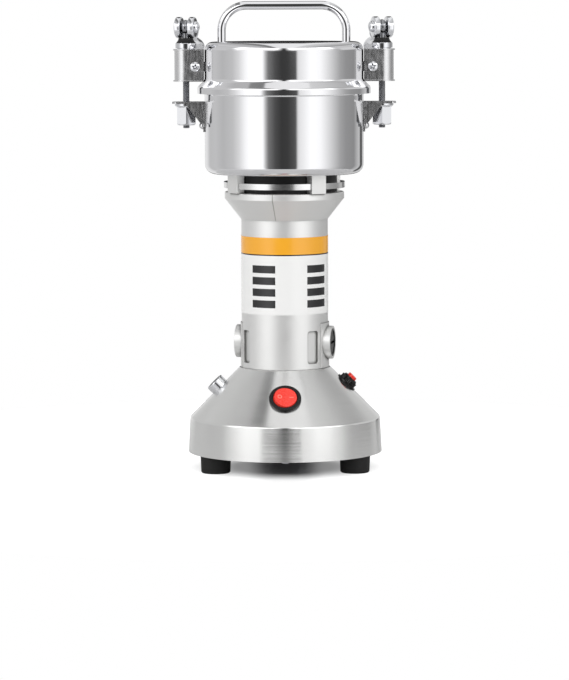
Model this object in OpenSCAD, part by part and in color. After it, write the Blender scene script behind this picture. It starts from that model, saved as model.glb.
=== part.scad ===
// Bench grain mill. A closed steel grinding bowl stands on a slim motor column, and the column
// stands on a spun steel base with three rubber feet. Two cam clamps hold the lid down.
// Millimetres. Z is the motor axis and points up, -Y is the front, and the table is at z = 0.

/* [Fits and clearances] */
// Radial clearance of a piece that turns or slides in a bore
run_fit = 0.08; // [0.04:0.01:0.1]
// Gap between neighbours that only pass each other
side_gap = 0.3; // [0.25:0.05:0.5]
// Radial clearance of a screw, a pin or a plug in its hole
screw_gap = 0.1; // [0.05:0.05:0.2]

/* [Feet] */
// Height of a rubber foot, up to the bottom plate
foot_h = 12.9; // [9:0.1:16]
// Diameter of a foot at the bottom plate
foot_top_d = 21.9; // [18:0.1:23]
// Diameter of a foot at the table
foot_bottom_d = 21; // [17:0.1:23]
// Distance of a foot's centre from the skirt's lower edge
foot_inset = 12.3; // [12.2:0.1:20]
// Shank diameter of the screw that holds a foot
foot_screw_d = 4; // [3:0.1:4.5]

/* [Base cover] */
// Thickness of the spun sheet
cover_t = 1; // [0.8:0.1:1.4]
// How far the feet stick out below the skirt
skirt_lift = 12.4; // [8.5:0.1:12.6]
// Height of the skirt
skirt_h = 24.6; // [20:0.1:30]
// Radius of the skirt's lower edge
skirt_bottom_r = 69.9; // [69:0.1:75]
// Radius of the skirt's upper edge
skirt_top_r = 68.6; // [66:0.1:75]
// Height of the cone above the skirt
cone_h = 36.4; // [33:0.1:42]
// Radius of the flat land on top of the cone
land_r = 32.5; // [32.2:0.1:36]
// Radius of the wire opening in the land
wire_hole_r = 17; // [12:0.1:18]
// Radius of the bend between the skirt and the cone
skirt_bend_r = 2.5; // [2:0.1:5]

/* [Bottom plate] */
// Thickness of the bottom plate
plate_t = 1.5; // [1:0.1:2.5]
// Height of the ring in the cover that the plate is screwed to
ring_h = 3; // [2:0.1:5]
// Radial width of that ring
ring_w = 6; // [5:0.1:8]
// Shank diameter of the bottom plate's screws
plate_screw_d = 3; // [2.5:0.1:4]
// Width of a cooling slot in the bottom plate
plate_slot_w = 3; // [2:0.1:4]
// Length of a cooling slot
plate_slot_l = 26; // [10:1:30]

/* [Power switch] */
// Height of the switch's centre on the cone
switch_z = 55.1; // [50:0.1:57]
// Diameter of the round bezel
bezel_d = 23; // [21.5:0.1:25]
// How far the bezel stands out of the cone
bezel_h = 2; // [1.5:0.1:3]
// Diameter of the switch body behind the cone
switch_body_d = 19.8; // [19:0.1:20.4]
// Depth of the switch body behind the cone
switch_depth = 17; // [13:0.1:20]
// Diameter of the ball-sided rocker
rocker_d = 17.2; // [16:0.1:17.4]
// Degrees that the rocker leans to each side
rocker_lean = 7; // [5:0.5:8]
// Diameter of the rocker's pivot pins
rocker_pin_d = 2; // [1.5:0.1:2.5]

/* [Overload protector] */
// Height of the protector's centre on the cone
breaker_z = 61.5; // [56:0.1:62]
// Diameter of its thin face washer
breaker_washer_d = 16; // [15:0.1:18]
// Thickness of the washer
breaker_washer_t = 0.8; // [0.5:0.1:1.2]
// Diameter of the threaded neck
breaker_neck_d = 10; // [9.5:0.1:10.5]
// Diameter of the knurled ring nut
breaker_nut_d = 13; // [12:0.1:14]
// Height of the ring nut
breaker_nut_h = 3.9; // [3:0.1:5]
// Width of the case behind the cone
breaker_case_w = 14; // [12:0.5:15]
// Length of the case along the base's rim
breaker_case_l = 16; // [14:0.5:20]
// Depth of the case
breaker_case_h = 22; // [18:0.5:25]
// Diameter of the reset button
reset_d = 7; // [6:0.1:7.4]
// How far the reset button stands out of its neck
reset_proud = 2; // [1.7:0.1:3]
// Travel of the reset button
reset_travel = 1.5; // [1:0.1:1.6]

/* [Cord gland] */
// Height of the gland's centre on the cone
gland_z = 58.5; // [54:0.1:59]
// Diameter of the gland
gland_d = 13.7; // [12:0.1:16]
// Height of the gland on the cone
gland_h = 5.8; // [4.5:0.1:8]
// Diameter of the bore that the cord passes through
gland_bore_d = 6.6; // [5:0.1:7]
// Diameter of the gland's thread
gland_thread_d = 11; // [10:0.1:11.6]

/* [Motor column] */
// Outer radius of the column
column_r = 31.2; // [30.8:0.1:32]
// Wall thickness of the column
column_wall = 3.2; // [3:0.1:3.6]
// Height of the straight part of the column
column_h = 107; // [104:0.1:112]
// Height of the conical flare above it
flare_h = 15.1; // [12:0.1:17]
// Radius of the flange at the top
flange_r = 43; // [42.6:0.1:44.5]
// Thickness of the flange
flange_t = 4.6; // [4:0.1:6]
// Degrees that the column is turned on the base
column_turn = -11.5; // [-20:0.5:0]
// Width of a post on the flange
post_w = 12; // [10:0.1:13]
// Radius to the outer face of a post
post_r = 44.6; // [44.3:0.1:45.5]
// Distance of the base screws' centres from the column's outside
column_screw_inset = 7.2; // [7:0.1:7.6]
// Shank diameter of the screws between the base and the column
column_screw_d = 4; // [3:0.1:4.2]

/* [Brush gear] */
// Height of the brush axis above the land
brush_h = 18.1; // [17:0.1:19]
// Diameter of a brush boss
boss_d = 23.8; // [23:0.1:24.4]
// Distance of a boss face from the motor axis
boss_face = 35.2; // [34.6:0.1:37]
// Diameter of the cap in the boss
cap_d = 20; // [18:0.1:21]
// Thickness of the cap's head
cap_t = 2.8; // [2:0.1:3.2]
// Diameter of the brush holder tube
holder_d = 14; // [13:0.1:15]
// Width and height of a carbon brush
brush_w = 6.5; // [5:0.1:8]
// Length of a carbon brush
brush_l = 12; // [9:0.1:13]
// Width of a relief pocket beside the boss
pocket_w = 9.8; // [6:0.1:11]
// Depth of a relief pocket
pocket_depth = 2; // [0.8:0.1:2]

/* [Label] */
// Thickness of the wrapped label
label_t = 0.15; // [0.1:0.05:0.3]
// Height of the label's lower edge above the land
label_from = 39.8; // [36:0.1:40]
// Height of the label
label_h = 55.4; // [40:0.1:62]

/* [Motor] */
// Diameter of the shaft
shaft_d = 8; // [7:0.1:9]
// Radius of the armature
armature_r = 16; // [14:0.1:17]
// Air gap between the armature and the field
air_gap = 0.6; // [0.4:0.1:1]
// Height of the laminated stacks
stack_h = 32; // [24:0.1:36]
// Height of the stacks' lower end above the land
stack_from = 36; // [35:0.1:40]
// Thickness of the field yoke
yoke_t = 5; // [4:0.1:5.5]
// Thickness of a field coil
coil_t = 2.8; // [2:0.1:3]
// Radius of the commutator
commutator_r = 11; // [9:0.1:12]
// Height of the commutator
commutator_h = 12; // [10:0.1:12.5]
// Number of armature slots
armature_slots = 12; // [8:1:16]
// Outer diameter of a ball bearing
bearing_d = 22; // [20:0.1:24]
// Width of a ball bearing
bearing_w = 7; // [6:0.1:8]
// Radius of the cooling fan
fan_r = 25; // [20:0.1:26]
// Height of the cooling fan
fan_h = 12; // [8:0.1:14]
// Number of fan blades
fan_blades = 9; // [7:1:13]

/* [Neck] */
// Thickness of the rubber gasket on the flange
gasket_t = 3.1; // [2:0.1:4]
// Outer radius of the gasket and of the spacer
spacer_r = 37.9; // [36.5:0.1:38]
// Radius of the round bearing plate
disc_r = 43.6; // [43:0.1:44.2]
// Thickness of the bearing plate
disc_t = 4.2; // [3.5:0.1:6]
// Height of the spacer under the bowl
spacer_h = 5.8; // [5:0.1:8]
// Shank diameter of the bearing plate's screws
neck_screw_d = 4; // [3:0.1:4.2]
// Distance of those screws from the outside of the gasket
neck_screw_inset = 4; // [3.8:0.1:4.4]

/* [Bowl] */
// Outer radius of the bowl
bowl_r = 57; // [56.5:0.1:58]
// Thickness of the bowl's sheet
bowl_t = 1.2; // [1:0.1:1.6]
// Height from the bowl's bottom to its rim
bowl_h = 59.9; // [57:0.1:64]
// Radius of the bottom corner
bowl_corner_r = 7; // [4:0.1:10]
// How far the rim is turned out
rim_w = 2.9; // [2.5:0.1:3.6]
// Shank diameter of the screws that hold the bowl
bowl_screw_d = 3; // [2.5:0.1:3.2]
// Diameter of the rivets that hold a bracket
rivet_d = 3; // [2.5:0.1:3.5]

/* [Lid] */
// Thickness of the lid's sheet
lid_t = 1.2; // [1:0.1:1.4]
// Height of the lid from the skirt's edge to the top
lid_h = 36.9; // [34:0.1:42]
// How far the skirt hangs below the top of the bowl's rim
lid_overlap = 2.4; // [1.5:0.1:3]
// Height of the skirt's straight edge
lid_edge_h = 4.3; // [4:0.1:6]
// How far the skirt stands out from the lid's wall
lid_step = 5.1; // [5.1:0.1:5.6]
// Radius of the lid's upper corner
lid_corner_r = 6; // [4:0.1:9]

/* [Lid handle] */
// Diameter of the handle's rod
rod_d = 6; // [5:0.1:7]
// Distance of a leg's centre from the edge of the lid's flat top
handle_inset = 6.3; // [6:0.1:14]
// Height of the handle above the lid
handle_h = 28.9; // [26:0.1:36]
// Bend radius of the rod's centre line
handle_bend_r = 17.8; // [14:0.1:20]
// Height of the nuts that hold the handle
handle_nut_h = 5; // [4:0.1:7]

/* [Lid clamps] */
// Distance of a clamp bolt from the bowl's wall
clamp_gap = 13.3; // [13:0.1:14]
// Diameter of a clamp bolt
bolt_d = 5; // [4:0.1:5.4]
// Height of a clamp box
box_h = 23.1; // [21:0.1:24]
// How far a clamp box sits below the top of the lid
box_drop = 5.2; // [4:0.1:6]
// Outer width of a clamp box
box_w = 16.8; // [16:0.1:18]
// Sheet thickness of a clamp box
box_t = 1.5; // [1:0.1:1.8]
// Thickness of a box's end plates
box_plate_t = 0.9; // [0.7:0.1:1.2]
// How far the end plates stand out around the box
box_plate_lip = 0.9; // [0.5:0.1:1.2]
// Diameter of the screw that a clamp box hangs on
pivot_screw_d = 4; // [3:0.1:4.4]
// Distance from that screw to the clamp bolt
pivot_inset = 6.6; // [6:0.1:7]
// Diameter of the cup under the cam
cup_d = 15.2; // [14:0.1:16]
// Height of the cup
cup_h = 7.9; // [6:0.1:9]
// Height of the cup's steel band
cup_band_h = 4.3; // [3:0.1:6]
// Radius of a cam lobe
cam_r = 7.5; // [7:0.1:8]
// How far the cam's centre lies off its pin
cam_offset = 0.3; // [0.1:0.1:1]
// Thickness of a cam lobe
cam_t = 4.3; // [3.5:0.1:5]
// Thickness of the bolt's eye between the lobes
eye_t = 5; // [4.5:0.1:6]
// Diameter of the bolt's eye
eye_d = 10.3; // [9:0.1:11]
// Diameter of the lever's pin
lever_pin_d = 4; // [3:0.1:4.4]
// Length of the lever from its pin
lever_l = 39; // [30:0.5:44]
// Degrees that the closed lever points downwards
lever_dip = 25; // [20:1:27]
// Degrees that the lever points inwards
lever_yaw = 15; // [8:1:16]
// Thickness of the lever's handle
lever_t = 3.6; // [3:0.1:4.4]
// Diameter of the clamp nut's flange
nut_flange_d = 16.4; // [15:0.1:16.6]
// Width across flats of the clamp nut
nut_af = 13; // [12:0.1:14]
// Height of the clamp nut
nut_h = 15.5; // [12:0.1:16.4]
// How far the bolt comes out below the nut
bolt_over = 2.2; // [1:0.1:5]

/* [Bowl brackets] */
// Height of a bracket's slotted plate above the bowl's bottom
fork_h = 51.5; // [49:0.1:51.6]
// Thickness of the bracket's sheet
bracket_t = 1.2; // [1:0.1:1.5]
// Outer width of a bracket
bracket_w = 19.6; // [19.6:0.1:21]
// How far a bracket's slotted plate reaches past the clamp bolt
fork_lip = 10.1; // [9:0.1:11]
// Height of a bracket's back plate
bracket_h = 21.6; // [20:0.1:25]

/* [Blades] */
// Radius swept by the lower blade
lower_blade_r = 48; // [36:0.5:50]
// Radius swept by the upper blade
upper_blade_r = 41; // [30:0.5:46]
// Thickness of a blade
blade_t = 2; // [1.5:0.1:3]
// Width of a blade at its hub
blade_w = 17; // [14:0.1:20]
// Gap between the bowl's bottom and the lower blade
blade_gap = 5; // [4:0.1:8]
// Height of the spacer between the two blades
blade_step = 6; // [4:0.1:12]
// Width across flats of the nut on top of the blades
blade_nut_af = 13; // [11:0.1:14]
// Height of that nut
blade_nut_h = 6.5; // [5:0.1:9]

/* [Hidden] */
$fn = 72;
eps = 0.01;
FRONT_FEET = 60; // degrees of the front feet from the front
POSTS = 4;

// Heights, from the table upwards
plate_top = foot_h + plate_t;
cone_z = skirt_lift + skirt_h;
land_z = cone_z + cone_h;
flare_z = land_z + column_h;
flange_top = flare_z + flare_h + flange_t;
disc_z = flange_top + gasket_t;
disc_top = disc_z + disc_t;
bowl_z = disc_top + spacer_h;
bowl_floor = bowl_z + bowl_t;
rim_top = bowl_z + bowl_h;
lid_z = rim_top - lid_overlap;
lid_top = lid_z + lid_h;
brush_z = land_z + brush_h;
stack_z = land_z + stack_from;
box_top = lid_top - box_drop;
box_z = box_top - box_h;
cam_foot = box_top + cup_h;
cup_bore = bolt_d / 2 + 0.4;
cam_gap = 0.05; // between a closed cam and its cup
pin_z = cam_foot + cam_r + cam_offset + cam_gap;
fork_top = bowl_z + fork_h;
nut_top = fork_top - bracket_t;
bolt_end = nut_top - nut_h - bolt_over;
rivet_z = fork_top - bracket_h + 4.4;
pivot_z = (box_z + box_top) / 2 - 1;
hub_z = land_z + 3;

// Derived radii and lengths
column_in = column_r - column_wall;
bearing_r = bearing_d / 2;
shaft_r = shaft_d / 2;
hub_r = bearing_r + 4;
plate_r = min(skirt_r(foot_h), skirt_r(plate_top)) - cover_t - side_gap;
ring_r = min(skirt_r(plate_top), skirt_r(plate_top + ring_h)) - cover_t - screw_gap;
plate_screw_r = ring_r - ring_w / 2;
foot_circle_r = skirt_bottom_r - foot_inset;
column_screw_r = column_r - column_screw_inset;
neck_screw_r = spacer_r - neck_screw_inset;
post_in = spacer_r + side_gap;
post_mid = (post_in + post_r) / 2;
rim_r = bowl_r + rim_w;
lid_skirt_r = bowl_r + lid_step;
handle_x = bowl_r - lid_corner_r - handle_inset;
clamp_r = bowl_r + clamp_gap;
pivot_r = clamp_r - pivot_inset;
fork_reach = clamp_r + fork_lip;
bracket_in = bowl_r + 0.05;
bracket_out = bracket_in + bracket_t;
fan_z = stack_z + stack_h + 12;
seal_r = shaft_r + 7;
blade_z = bowl_floor + blade_gap;
upper_blade_z = blade_z + blade_t + blade_step;
shaft_foot = hub_z - 1.5;
shaft_top = upper_blade_z + blade_t + blade_nut_h + 1.5;
switch_hole_r = switch_body_d / 2 + screw_gap;
cone_lean = atan2(cone_h, skirt_top_r - land_r);
holder_end = boss_face - cap_t - 2.2;
lobe_from = eye_t / 2 + side_gap - 0.05; // inner face of a cam lobe, from the middle of the eye
brush_tip = commutator_r + side_gap;
shoe_in = armature_r + air_gap;
shoe_out = shoe_in + 2.4;
core_w = armature_r; // width of a pole's core

// Outlines

// Points on an arc about c, from angle a to angle b
function arc(c, r, a, b, steps = 6) =
    [for (i = [0:steps]) let (t = a + (b - a) * i / steps) c + r * [cos(t), sin(t)]];
function left_of(p, q) = let (d = (q - p) / norm(q - p)) [-d[1], d[0]];
// The same line, moved t to its left with mitred corners
function inset(path, t) = let (last = len(path) - 1) [for (i = [0:last])
    let (a = left_of(path[max(i - 1, 0)], path[max(i, 1)]),
         b = left_of(path[min(i, last - 1)], path[min(i + 1, last)]))
    path[i] + t * (a + b) / (1 + a * b)];
function backwards(path) = [for (i = [len(path) - 1:-1:0]) path[i]];
function tangent_length(r, turn) = r * tan(turn / 2);
// Outer radius of the skirt at height z
function skirt_r(z) = skirt_bottom_r + (skirt_top_r - skirt_bottom_r) * (z - skirt_lift) / skirt_h;

// A sheet of thickness t, spun to an outline of [radius, height] points
module spun_sheet(path, t) {
    rotate_extrude() polygon(concat(path, backwards(inset(path, t))));
}

function cover_outline() = let (
        corner = [skirt_top_r, cone_z],
        up = [skirt_top_r - skirt_bottom_r, skirt_h] / norm([skirt_top_r - skirt_bottom_r, skirt_h]),
        slope = [land_r - skirt_top_r, cone_h] / norm([land_r - skirt_top_r, cone_h]),
        a = atan2(up[1], up[0]), b = atan2(slope[1], slope[0]),
        start = corner - up * tangent_length(skirt_bend_r, b - a),
        centre = start + skirt_bend_r * [-up[1], up[0]])
    concat([[skirt_bottom_r, skirt_lift]], arc(centre, skirt_bend_r, a - 90, b - 90, 4),
        [[land_r, land_z], [wire_hole_r, land_z]]);

function bowl_outline() = let (
        c = bowl_corner_r, top = rim_top - bowl_t, bend = rim_w)
    concat([[seal_r, bowl_z]], arc([bowl_r - c, bowl_z + c], c, -90, 0, 8),
        arc([bowl_r + bend, top - bend], bend, 180, 90, 6));

function lid_outline() = let (c = lid_corner_r, foot = lid_z + lid_edge_h)
    concat([[lid_skirt_r, lid_z], [lid_skirt_r, foot], [bowl_r + 0.6, foot + lid_step - 0.6],
        [bowl_r, foot + lid_step + 0.2]], arc([bowl_r - c, lid_top - c], c, 0, 90, 8), [[0, lid_top]]);

// Placing

// Height of the cone's surface below the land gives its radius
function cone_r(z) = land_r + (land_z - z) * (skirt_top_r - land_r) / cone_h;
// Stands children on the cone: their Z points straight out of it
module on_cone(angle, z) {
    rotate([0, 0, angle]) translate([0, -cone_r(z), z]) rotate([cone_lean, 0, 0]) children();
}
module inside_cone() {
    rotate_extrude() polygon([[0, cone_z], [skirt_top_r, cone_z], [land_r, land_z], [0, land_z]]);
}
module on_side(side) {
    if (side < 0) mirror([1, 0, 0]) children();
    else children();
}
module in_ring(n, r, first = 0) {
    for (i = [0:n - 1]) rotate([0, 0, first + 360 * i / n]) translate([0, -r, 0]) children();
}
// The column's own frame: its brush axis lies along X
module on_column() {
    rotate([0, 0, column_turn]) children();
}
// Lays children along the brush axis of one side, outwards
module along_brush(side) {
    on_column() translate([0, 0, brush_z]) rotate([0, side * 90, 0]) children();
}

// Fasteners, standing on their heads' seats with the shank downwards. Heads follow the shank's diameter.
module cross_recess(d) {
    for (a = [0, 90]) rotate([0, 0, a]) translate([-d * 0.3, -d * 0.06, -1]) cube([d * 0.6, d * 0.12, 3]);
}
module pan_screw(d, l, head_share = 1.9) {
    head_d = head_share * d;
    head_h = 0.55 * d;
    difference() {
        union() {
            translate([0, 0, -l]) cylinder(d = d, h = l + eps);
            rotate_extrude() polygon(concat([[0, 0], [head_d / 2, 0]],
                arc([head_d / 2 - head_h / 2, head_h / 2], head_h / 2, 0, 90, 4), [[0, head_h]]));
        }
        translate([0, 0, head_h]) cross_recess(head_d);
    }
}
module flat_screw(d, l) {
    head_d = 2 * d;
    head_h = 0.55 * d;
    difference() {
        rotate_extrude() polygon([[0, -l], [d / 2, -l], [d / 2, -head_h], [head_d / 2, 0], [0, 0]]);
        cross_recess(head_d);
    }
}
module hex_prism(af, h) {
    cylinder(d = af / cos(30), h = h, $fn = 6);
}

// Feet and base

module foot(angle) {
    color([0.12, 0.12, 0.12]) rotate([0, 0, angle]) translate([0, -foot_circle_r, 0]) difference() {
        rotate_extrude() polygon([[0, 0], [foot_bottom_d / 2 - 0.8, 0], [foot_bottom_d / 2, 0.8],
            [foot_top_d / 2, foot_h - 0.6], [foot_top_d / 2 - 0.6, foot_h], [0, foot_h]]);
        translate([0, 0, -1]) cylinder(r = foot_screw_d + screw_gap, h = 1 + foot_h / 2);
        cylinder(d = foot_screw_d + 2 * screw_gap, h = foot_h + 1);
    }
}
module foot_front_left() foot(-FRONT_FEET);
module foot_front_right() foot(FRONT_FEET);
module foot_rear() foot(180);

module foot_screws() {
    color([0.7, 0.7, 0.7]) for (a = [-FRONT_FEET, FRONT_FEET, 180])
        rotate([0, 0, a]) translate([0, -foot_circle_r, foot_h / 2]) mirror([0, 0, 1])
            pan_screw(foot_screw_d, foot_h / 2 + plate_t + foot_screw_d / 2);
}

module base_cover() {
    color([0.78, 0.78, 0.78]) difference() {
        spun_sheet(cover_outline(), cover_t);
        on_cone(0, switch_z) translate([0, 0, -switch_depth])
            cylinder(r = switch_hole_r, h = 2 * switch_depth);
        on_cone(90, breaker_z) translate([0, 0, -8]) cylinder(d = breaker_neck_d + 2 * screw_gap, h = 16);
        on_cone(-90, gland_z) translate([0, 0, -8]) cylinder(d = gland_thread_d + 2 * screw_gap, h = 16);
        on_column() in_ring(4, column_screw_r, 45) translate([0, 0, land_z - 4])
            cylinder(d = column_screw_d + 4 * screw_gap, h = 8);
    }
}

module base_ring() {
    color([0.6, 0.6, 0.6]) translate([0, 0, plate_top]) difference() {
        cylinder(r = ring_r, h = ring_h);
        translate([0, 0, -1]) cylinder(r = ring_r - ring_w, h = ring_h + 2);
        in_ring(3, plate_screw_r) translate([0, 0, -1])
            cylinder(d = plate_screw_d + 2 * screw_gap, h = ring_h + 2);
    }
}

module bottom_plate() {
    color([0.55, 0.55, 0.55]) translate([0, 0, foot_h]) difference() {
        cylinder(r = plate_r, h = plate_t);
        in_ring(3, plate_screw_r) translate([0, 0, -1])
            cylinder(d = plate_screw_d + 2 * screw_gap, h = plate_t + 2);
        for (a = [-FRONT_FEET, FRONT_FEET, 180]) rotate([0, 0, a]) translate([0, -foot_circle_r, -1])
            cylinder(d = foot_screw_d + 2 * screw_gap, h = plate_t + 2);
        for (i = [-3:3]) translate([-plate_slot_l / 2, i * 3 * plate_slot_w - plate_slot_w / 2, -1])
            cube([plate_slot_l, plate_slot_w, plate_t + 2]);
    }
}

module plate_screws() {
    color([0.7, 0.7, 0.7]) in_ring(3, plate_screw_r) translate([0, 0, foot_h]) mirror([0, 0, 1])
        pan_screw(plate_screw_d, plate_t + 0.8 * ring_h);
}

// Power switch

module switch_housing() {
    bore_r = rocker_d / 2 + side_gap;
    color([0.1, 0.1, 0.12]) difference() {
        union() {
            on_cone(0, switch_z) translate([0, 0, -switch_depth])
                cylinder(d = switch_body_d, h = switch_depth + bezel_h - 0.2);
            difference() {
                on_cone(0, switch_z) translate([0, 0, -2]) rotate_extrude() polygon(concat(
                    [[bore_r - 1, 0], [bezel_d / 2, 0]],
                    arc([bezel_d / 2 - 0.8, bezel_h + 1.2], 0.8, 0, 90, 4), [[bore_r - 1, bezel_h + 2]]));
                inside_cone();
            }
        }
        on_cone(0, switch_z) {
            translate([0, 0, 2 - switch_depth]) cylinder(r = bore_r, h = switch_depth + bezel_h);
            rotate([90, 0, 0]) translate([0, 0, -bore_r - 0.6])
                cylinder(d = rocker_pin_d + 2 * run_fit, h = 2 * bore_r + 1.2);
        }
    }
}

module rocker_button() {
    r = rocker_d / 2;
    side_h = 3.4;
    middle_h = 2.3;
    color([0.95, 0.25, 0.2]) on_cone(0, switch_z) rotate([0, rocker_lean, 0]) {
        intersection() {
            sphere(r = r);
            rotate([90, 0, 0]) translate([0, 0, -r]) linear_extrude(2 * r)
                polygon([[-r, side_h], [0, middle_h], [r, side_h], [r, -3], [4, -7], [-4, -7], [-r, -3]]);
        }
        rotate([90, 0, 0]) translate([0, 0, -r - side_gap - 0.4])
            cylinder(d = rocker_pin_d, h = 2 * (r + side_gap + 0.4));
    }
}

// Overload protector

module breaker_body() {
    case = [breaker_case_w, breaker_case_l, breaker_case_h];
    color([0.15, 0.15, 0.15]) difference() {
        union() {
            on_cone(90, breaker_z) {
                translate([-case[0] / 2, -case[1] / 2, -case[2] - cover_t - 1.2]) cube(case);
                translate([0, 0, -cover_t - 1.3])
                    cylinder(d = breaker_neck_d, h = cover_t + 1.3 + breaker_washer_t + breaker_nut_h + 0.5);
            }
            difference() {
                on_cone(90, breaker_z) translate([0, 0, -1]) difference() {
                    cylinder(d = breaker_washer_d, h = breaker_washer_t + 1);
                    translate([0, 0, -1]) cylinder(d = breaker_neck_d - 1, h = breaker_washer_t + 3);
                }
                inside_cone();
            }
        }
        on_cone(90, breaker_z) translate([0, 0, -9]) cylinder(d = reset_d + 2 * run_fit, h = 30);
    }
}

module breaker_nut() {
    ribs = 30;
    rib_h = 0.35;
    color([0.08, 0.08, 0.08]) on_cone(90, breaker_z) translate([0, 0, breaker_washer_t]) difference() {
        union() {
            linear_extrude(breaker_nut_h - 1) polygon([for (i = [0:2 * ribs - 1])
                let (r = breaker_nut_d / 2 - rib_h * (i % 2), a = 180 * i / ribs) r * [cos(a), sin(a)]]);
            cylinder(r1 = breaker_nut_d / 2 - rib_h, r2 = breaker_nut_d / 2 - 1, h = breaker_nut_h);
        }
        translate([0, 0, -1]) cylinder(d = breaker_neck_d + 2 * screw_gap, h = breaker_nut_h + 2);
    }
}

module reset_button() {
    top = breaker_washer_t + breaker_nut_h + 0.5 + reset_proud;
    foot = reset_travel - 9 + 0.2;
    color([0.9, 0.2, 0.2]) on_cone(90, breaker_z) translate([0, 0, foot]) rotate_extrude()
        polygon(concat([[0, 0], [reset_d / 2, 0]],
            arc([reset_d / 2 - 0.5, top - foot - 0.5], 0.5, 0, 90, 3), [[0, top - foot]]));
}

// Cord gland

module cord_gland() {
    core_r = gland_bore_d / 2 - 1;
    color([0.85, 0.85, 0.85]) difference() {
        union() {
            on_cone(-90, gland_z) translate([0, 0, -8]) cylinder(d = gland_thread_d, h = 9);
            difference() {
                on_cone(-90, gland_z) translate([0, 0, -1]) rotate_extrude() polygon(concat(
                    [[core_r, 0], [gland_d / 2, 0]], arc([gland_d / 2 - 0.8, gland_h + 0.2], 0.8, 0, 90, 4),
                    [[core_r, gland_h + 1]]));
                inside_cone();
            }
        }
        on_cone(-90, gland_z) translate([0, 0, -10]) cylinder(d = gland_bore_d, h = gland_h + 20);
    }
}

module gland_locknut() {
    color([0.75, 0.75, 0.75]) on_cone(-90, gland_z) translate([0, 0, -cover_t - 3.6]) difference() {
        hex_prism(gland_thread_d + 5, 3);
        translate([0, 0, -1]) cylinder(d = gland_thread_d + 2 * screw_gap, h = 5);
    }
}

// Motor column

// A prism with rounded corners that stands on its XY outline
module round_block(w, l, r, h) {
    translate([-w / 2 + r, -l / 2, 0]) cube([w - 2 * r, l, h]);
    translate([-w / 2, -l / 2 + r, 0]) cube([w, l - 2 * r, h]);
    for (x = [-1, 1], y = [-1, 1]) translate([x * (w / 2 - r), y * (l / 2 - r), 0]) cylinder(r = r, h = h);
}

module column_shell() {
    edge = 0.5;
    rotate_extrude() polygon([[0, land_z], [column_r - edge, land_z], [column_r, land_z + edge],
        [column_r, flare_z], [flange_r, flare_z + flare_h], [flange_r, flange_top - edge],
        [flange_r - edge, flange_top], [0, flange_top]]);
}

module column_housing() {
    pad_half = column_r * sin(24);
    pad_h = 32;
    pocket_h = 23.6;
    window_in = hub_r + 1;
    color([0.8, 0.8, 0.79]) on_column() difference() {
        union() {
            column_shell();
            // Raised pad and round boss on each side, for the brush gear
            intersection() {
                translate([0, 0, land_z + 0.5]) cylinder(r = column_r + 0.8, h = pad_h);
                translate([-50, -pad_half, land_z]) cube([100, 2 * pad_half, pad_h + 1]);
            }
            for (side = [-1, 1]) translate([0, 0, brush_z]) rotate([0, side * 90, 0])
                cylinder(d = boss_d, h = boss_face);
            // Posts that carry the bowl
            in_ring(POSTS, 0, 45) translate([-post_w / 2, -post_r, flange_top - eps])
                cube([post_w, post_r - post_in, bowl_z - flange_top + eps]);
        }
        // Motor bore, down to the floor, with a hub for the lower bearing
        difference() {
            translate([0, 0, hub_z]) cylinder(r = column_in, h = 300);
            translate([0, 0, hub_z - 1]) cylinder(r = hub_r, h = bearing_w + 1.5);
            in_ring(4, column_screw_r, 45) translate([0, 0, hub_z - 1])
                cylinder(d = 1.9 * column_screw_d, h = 8);
            for (side = [-1, 1]) translate([0, 0, brush_z]) rotate([0, side * 90, 0])
                translate([0, 0, 19]) cylinder(d = holder_d + 4, h = 12);
        }
        translate([0, 0, hub_z - 0.5]) cylinder(r = bearing_r + 0.02, h = 30);
        translate([0, 0, land_z - 1]) cylinder(r = shaft_r + 4, h = 30);
        in_ring(4, column_screw_r, 45) translate([0, 0, land_z - 1])
            cylinder(d = column_screw_d + 2 * screw_gap, h = 9);
        // Windows for the leads
        in_ring(4, (column_in + window_in) / 2, 0) translate([-5, -2.5, land_z - 1]) cube([10, 5, 6]);
        // Bores of the brush gear
        for (side = [-1, 1]) translate([0, 0, brush_z]) rotate([0, side * 90, 0]) {
            translate([0, 0, 18]) cylinder(d = holder_d + 2 * screw_gap, h = 30);
            translate([0, 0, boss_face - cap_t]) cylinder(d = cap_d + 2 * screw_gap, h = 10);
        }
        // Relief pockets beside the bosses
        for (side = [0, 180], a = [-38, 38]) rotate([0, 0, side + a])
            translate([column_r - pocket_depth, 0, brush_z - 2.2]) rotate([0, 90, 0])
                round_block(pocket_h, pocket_w, 2, 10);
        // Tapped holes for the bearing plate and for the bowl
        in_ring(4, neck_screw_r) translate([0, 0, flange_top - 2.1 * neck_screw_d])
            cylinder(d = neck_screw_d + 2 * screw_gap, h = 20);
        in_ring(POSTS, post_mid, 45) translate([0, 0, bowl_z - 3 * bowl_screw_d])
            cylinder(d = bowl_screw_d + 2 * screw_gap, h = 20);
    }
}

module column_screws() {
    color([0.7, 0.7, 0.7]) on_column() in_ring(4, column_screw_r, 45)
        translate([0, 0, land_z - cover_t]) mirror([0, 0, 1]) pan_screw(column_screw_d, 2.1 * column_screw_d);
}

module motor_label() {
    glue = 0.05;
    color([0.93, 0.93, 0.92]) on_column() translate([0, 0, land_z + label_from]) difference() {
        cylinder(r = column_r + glue + label_t, h = label_h);
        translate([0, 0, -1]) cylinder(r = column_r + glue, h = label_h + 2);
        translate([-0.5, 0, -1]) cube([1, column_r + 2, label_h + 2]);
    }
}

// Brush gear

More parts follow.
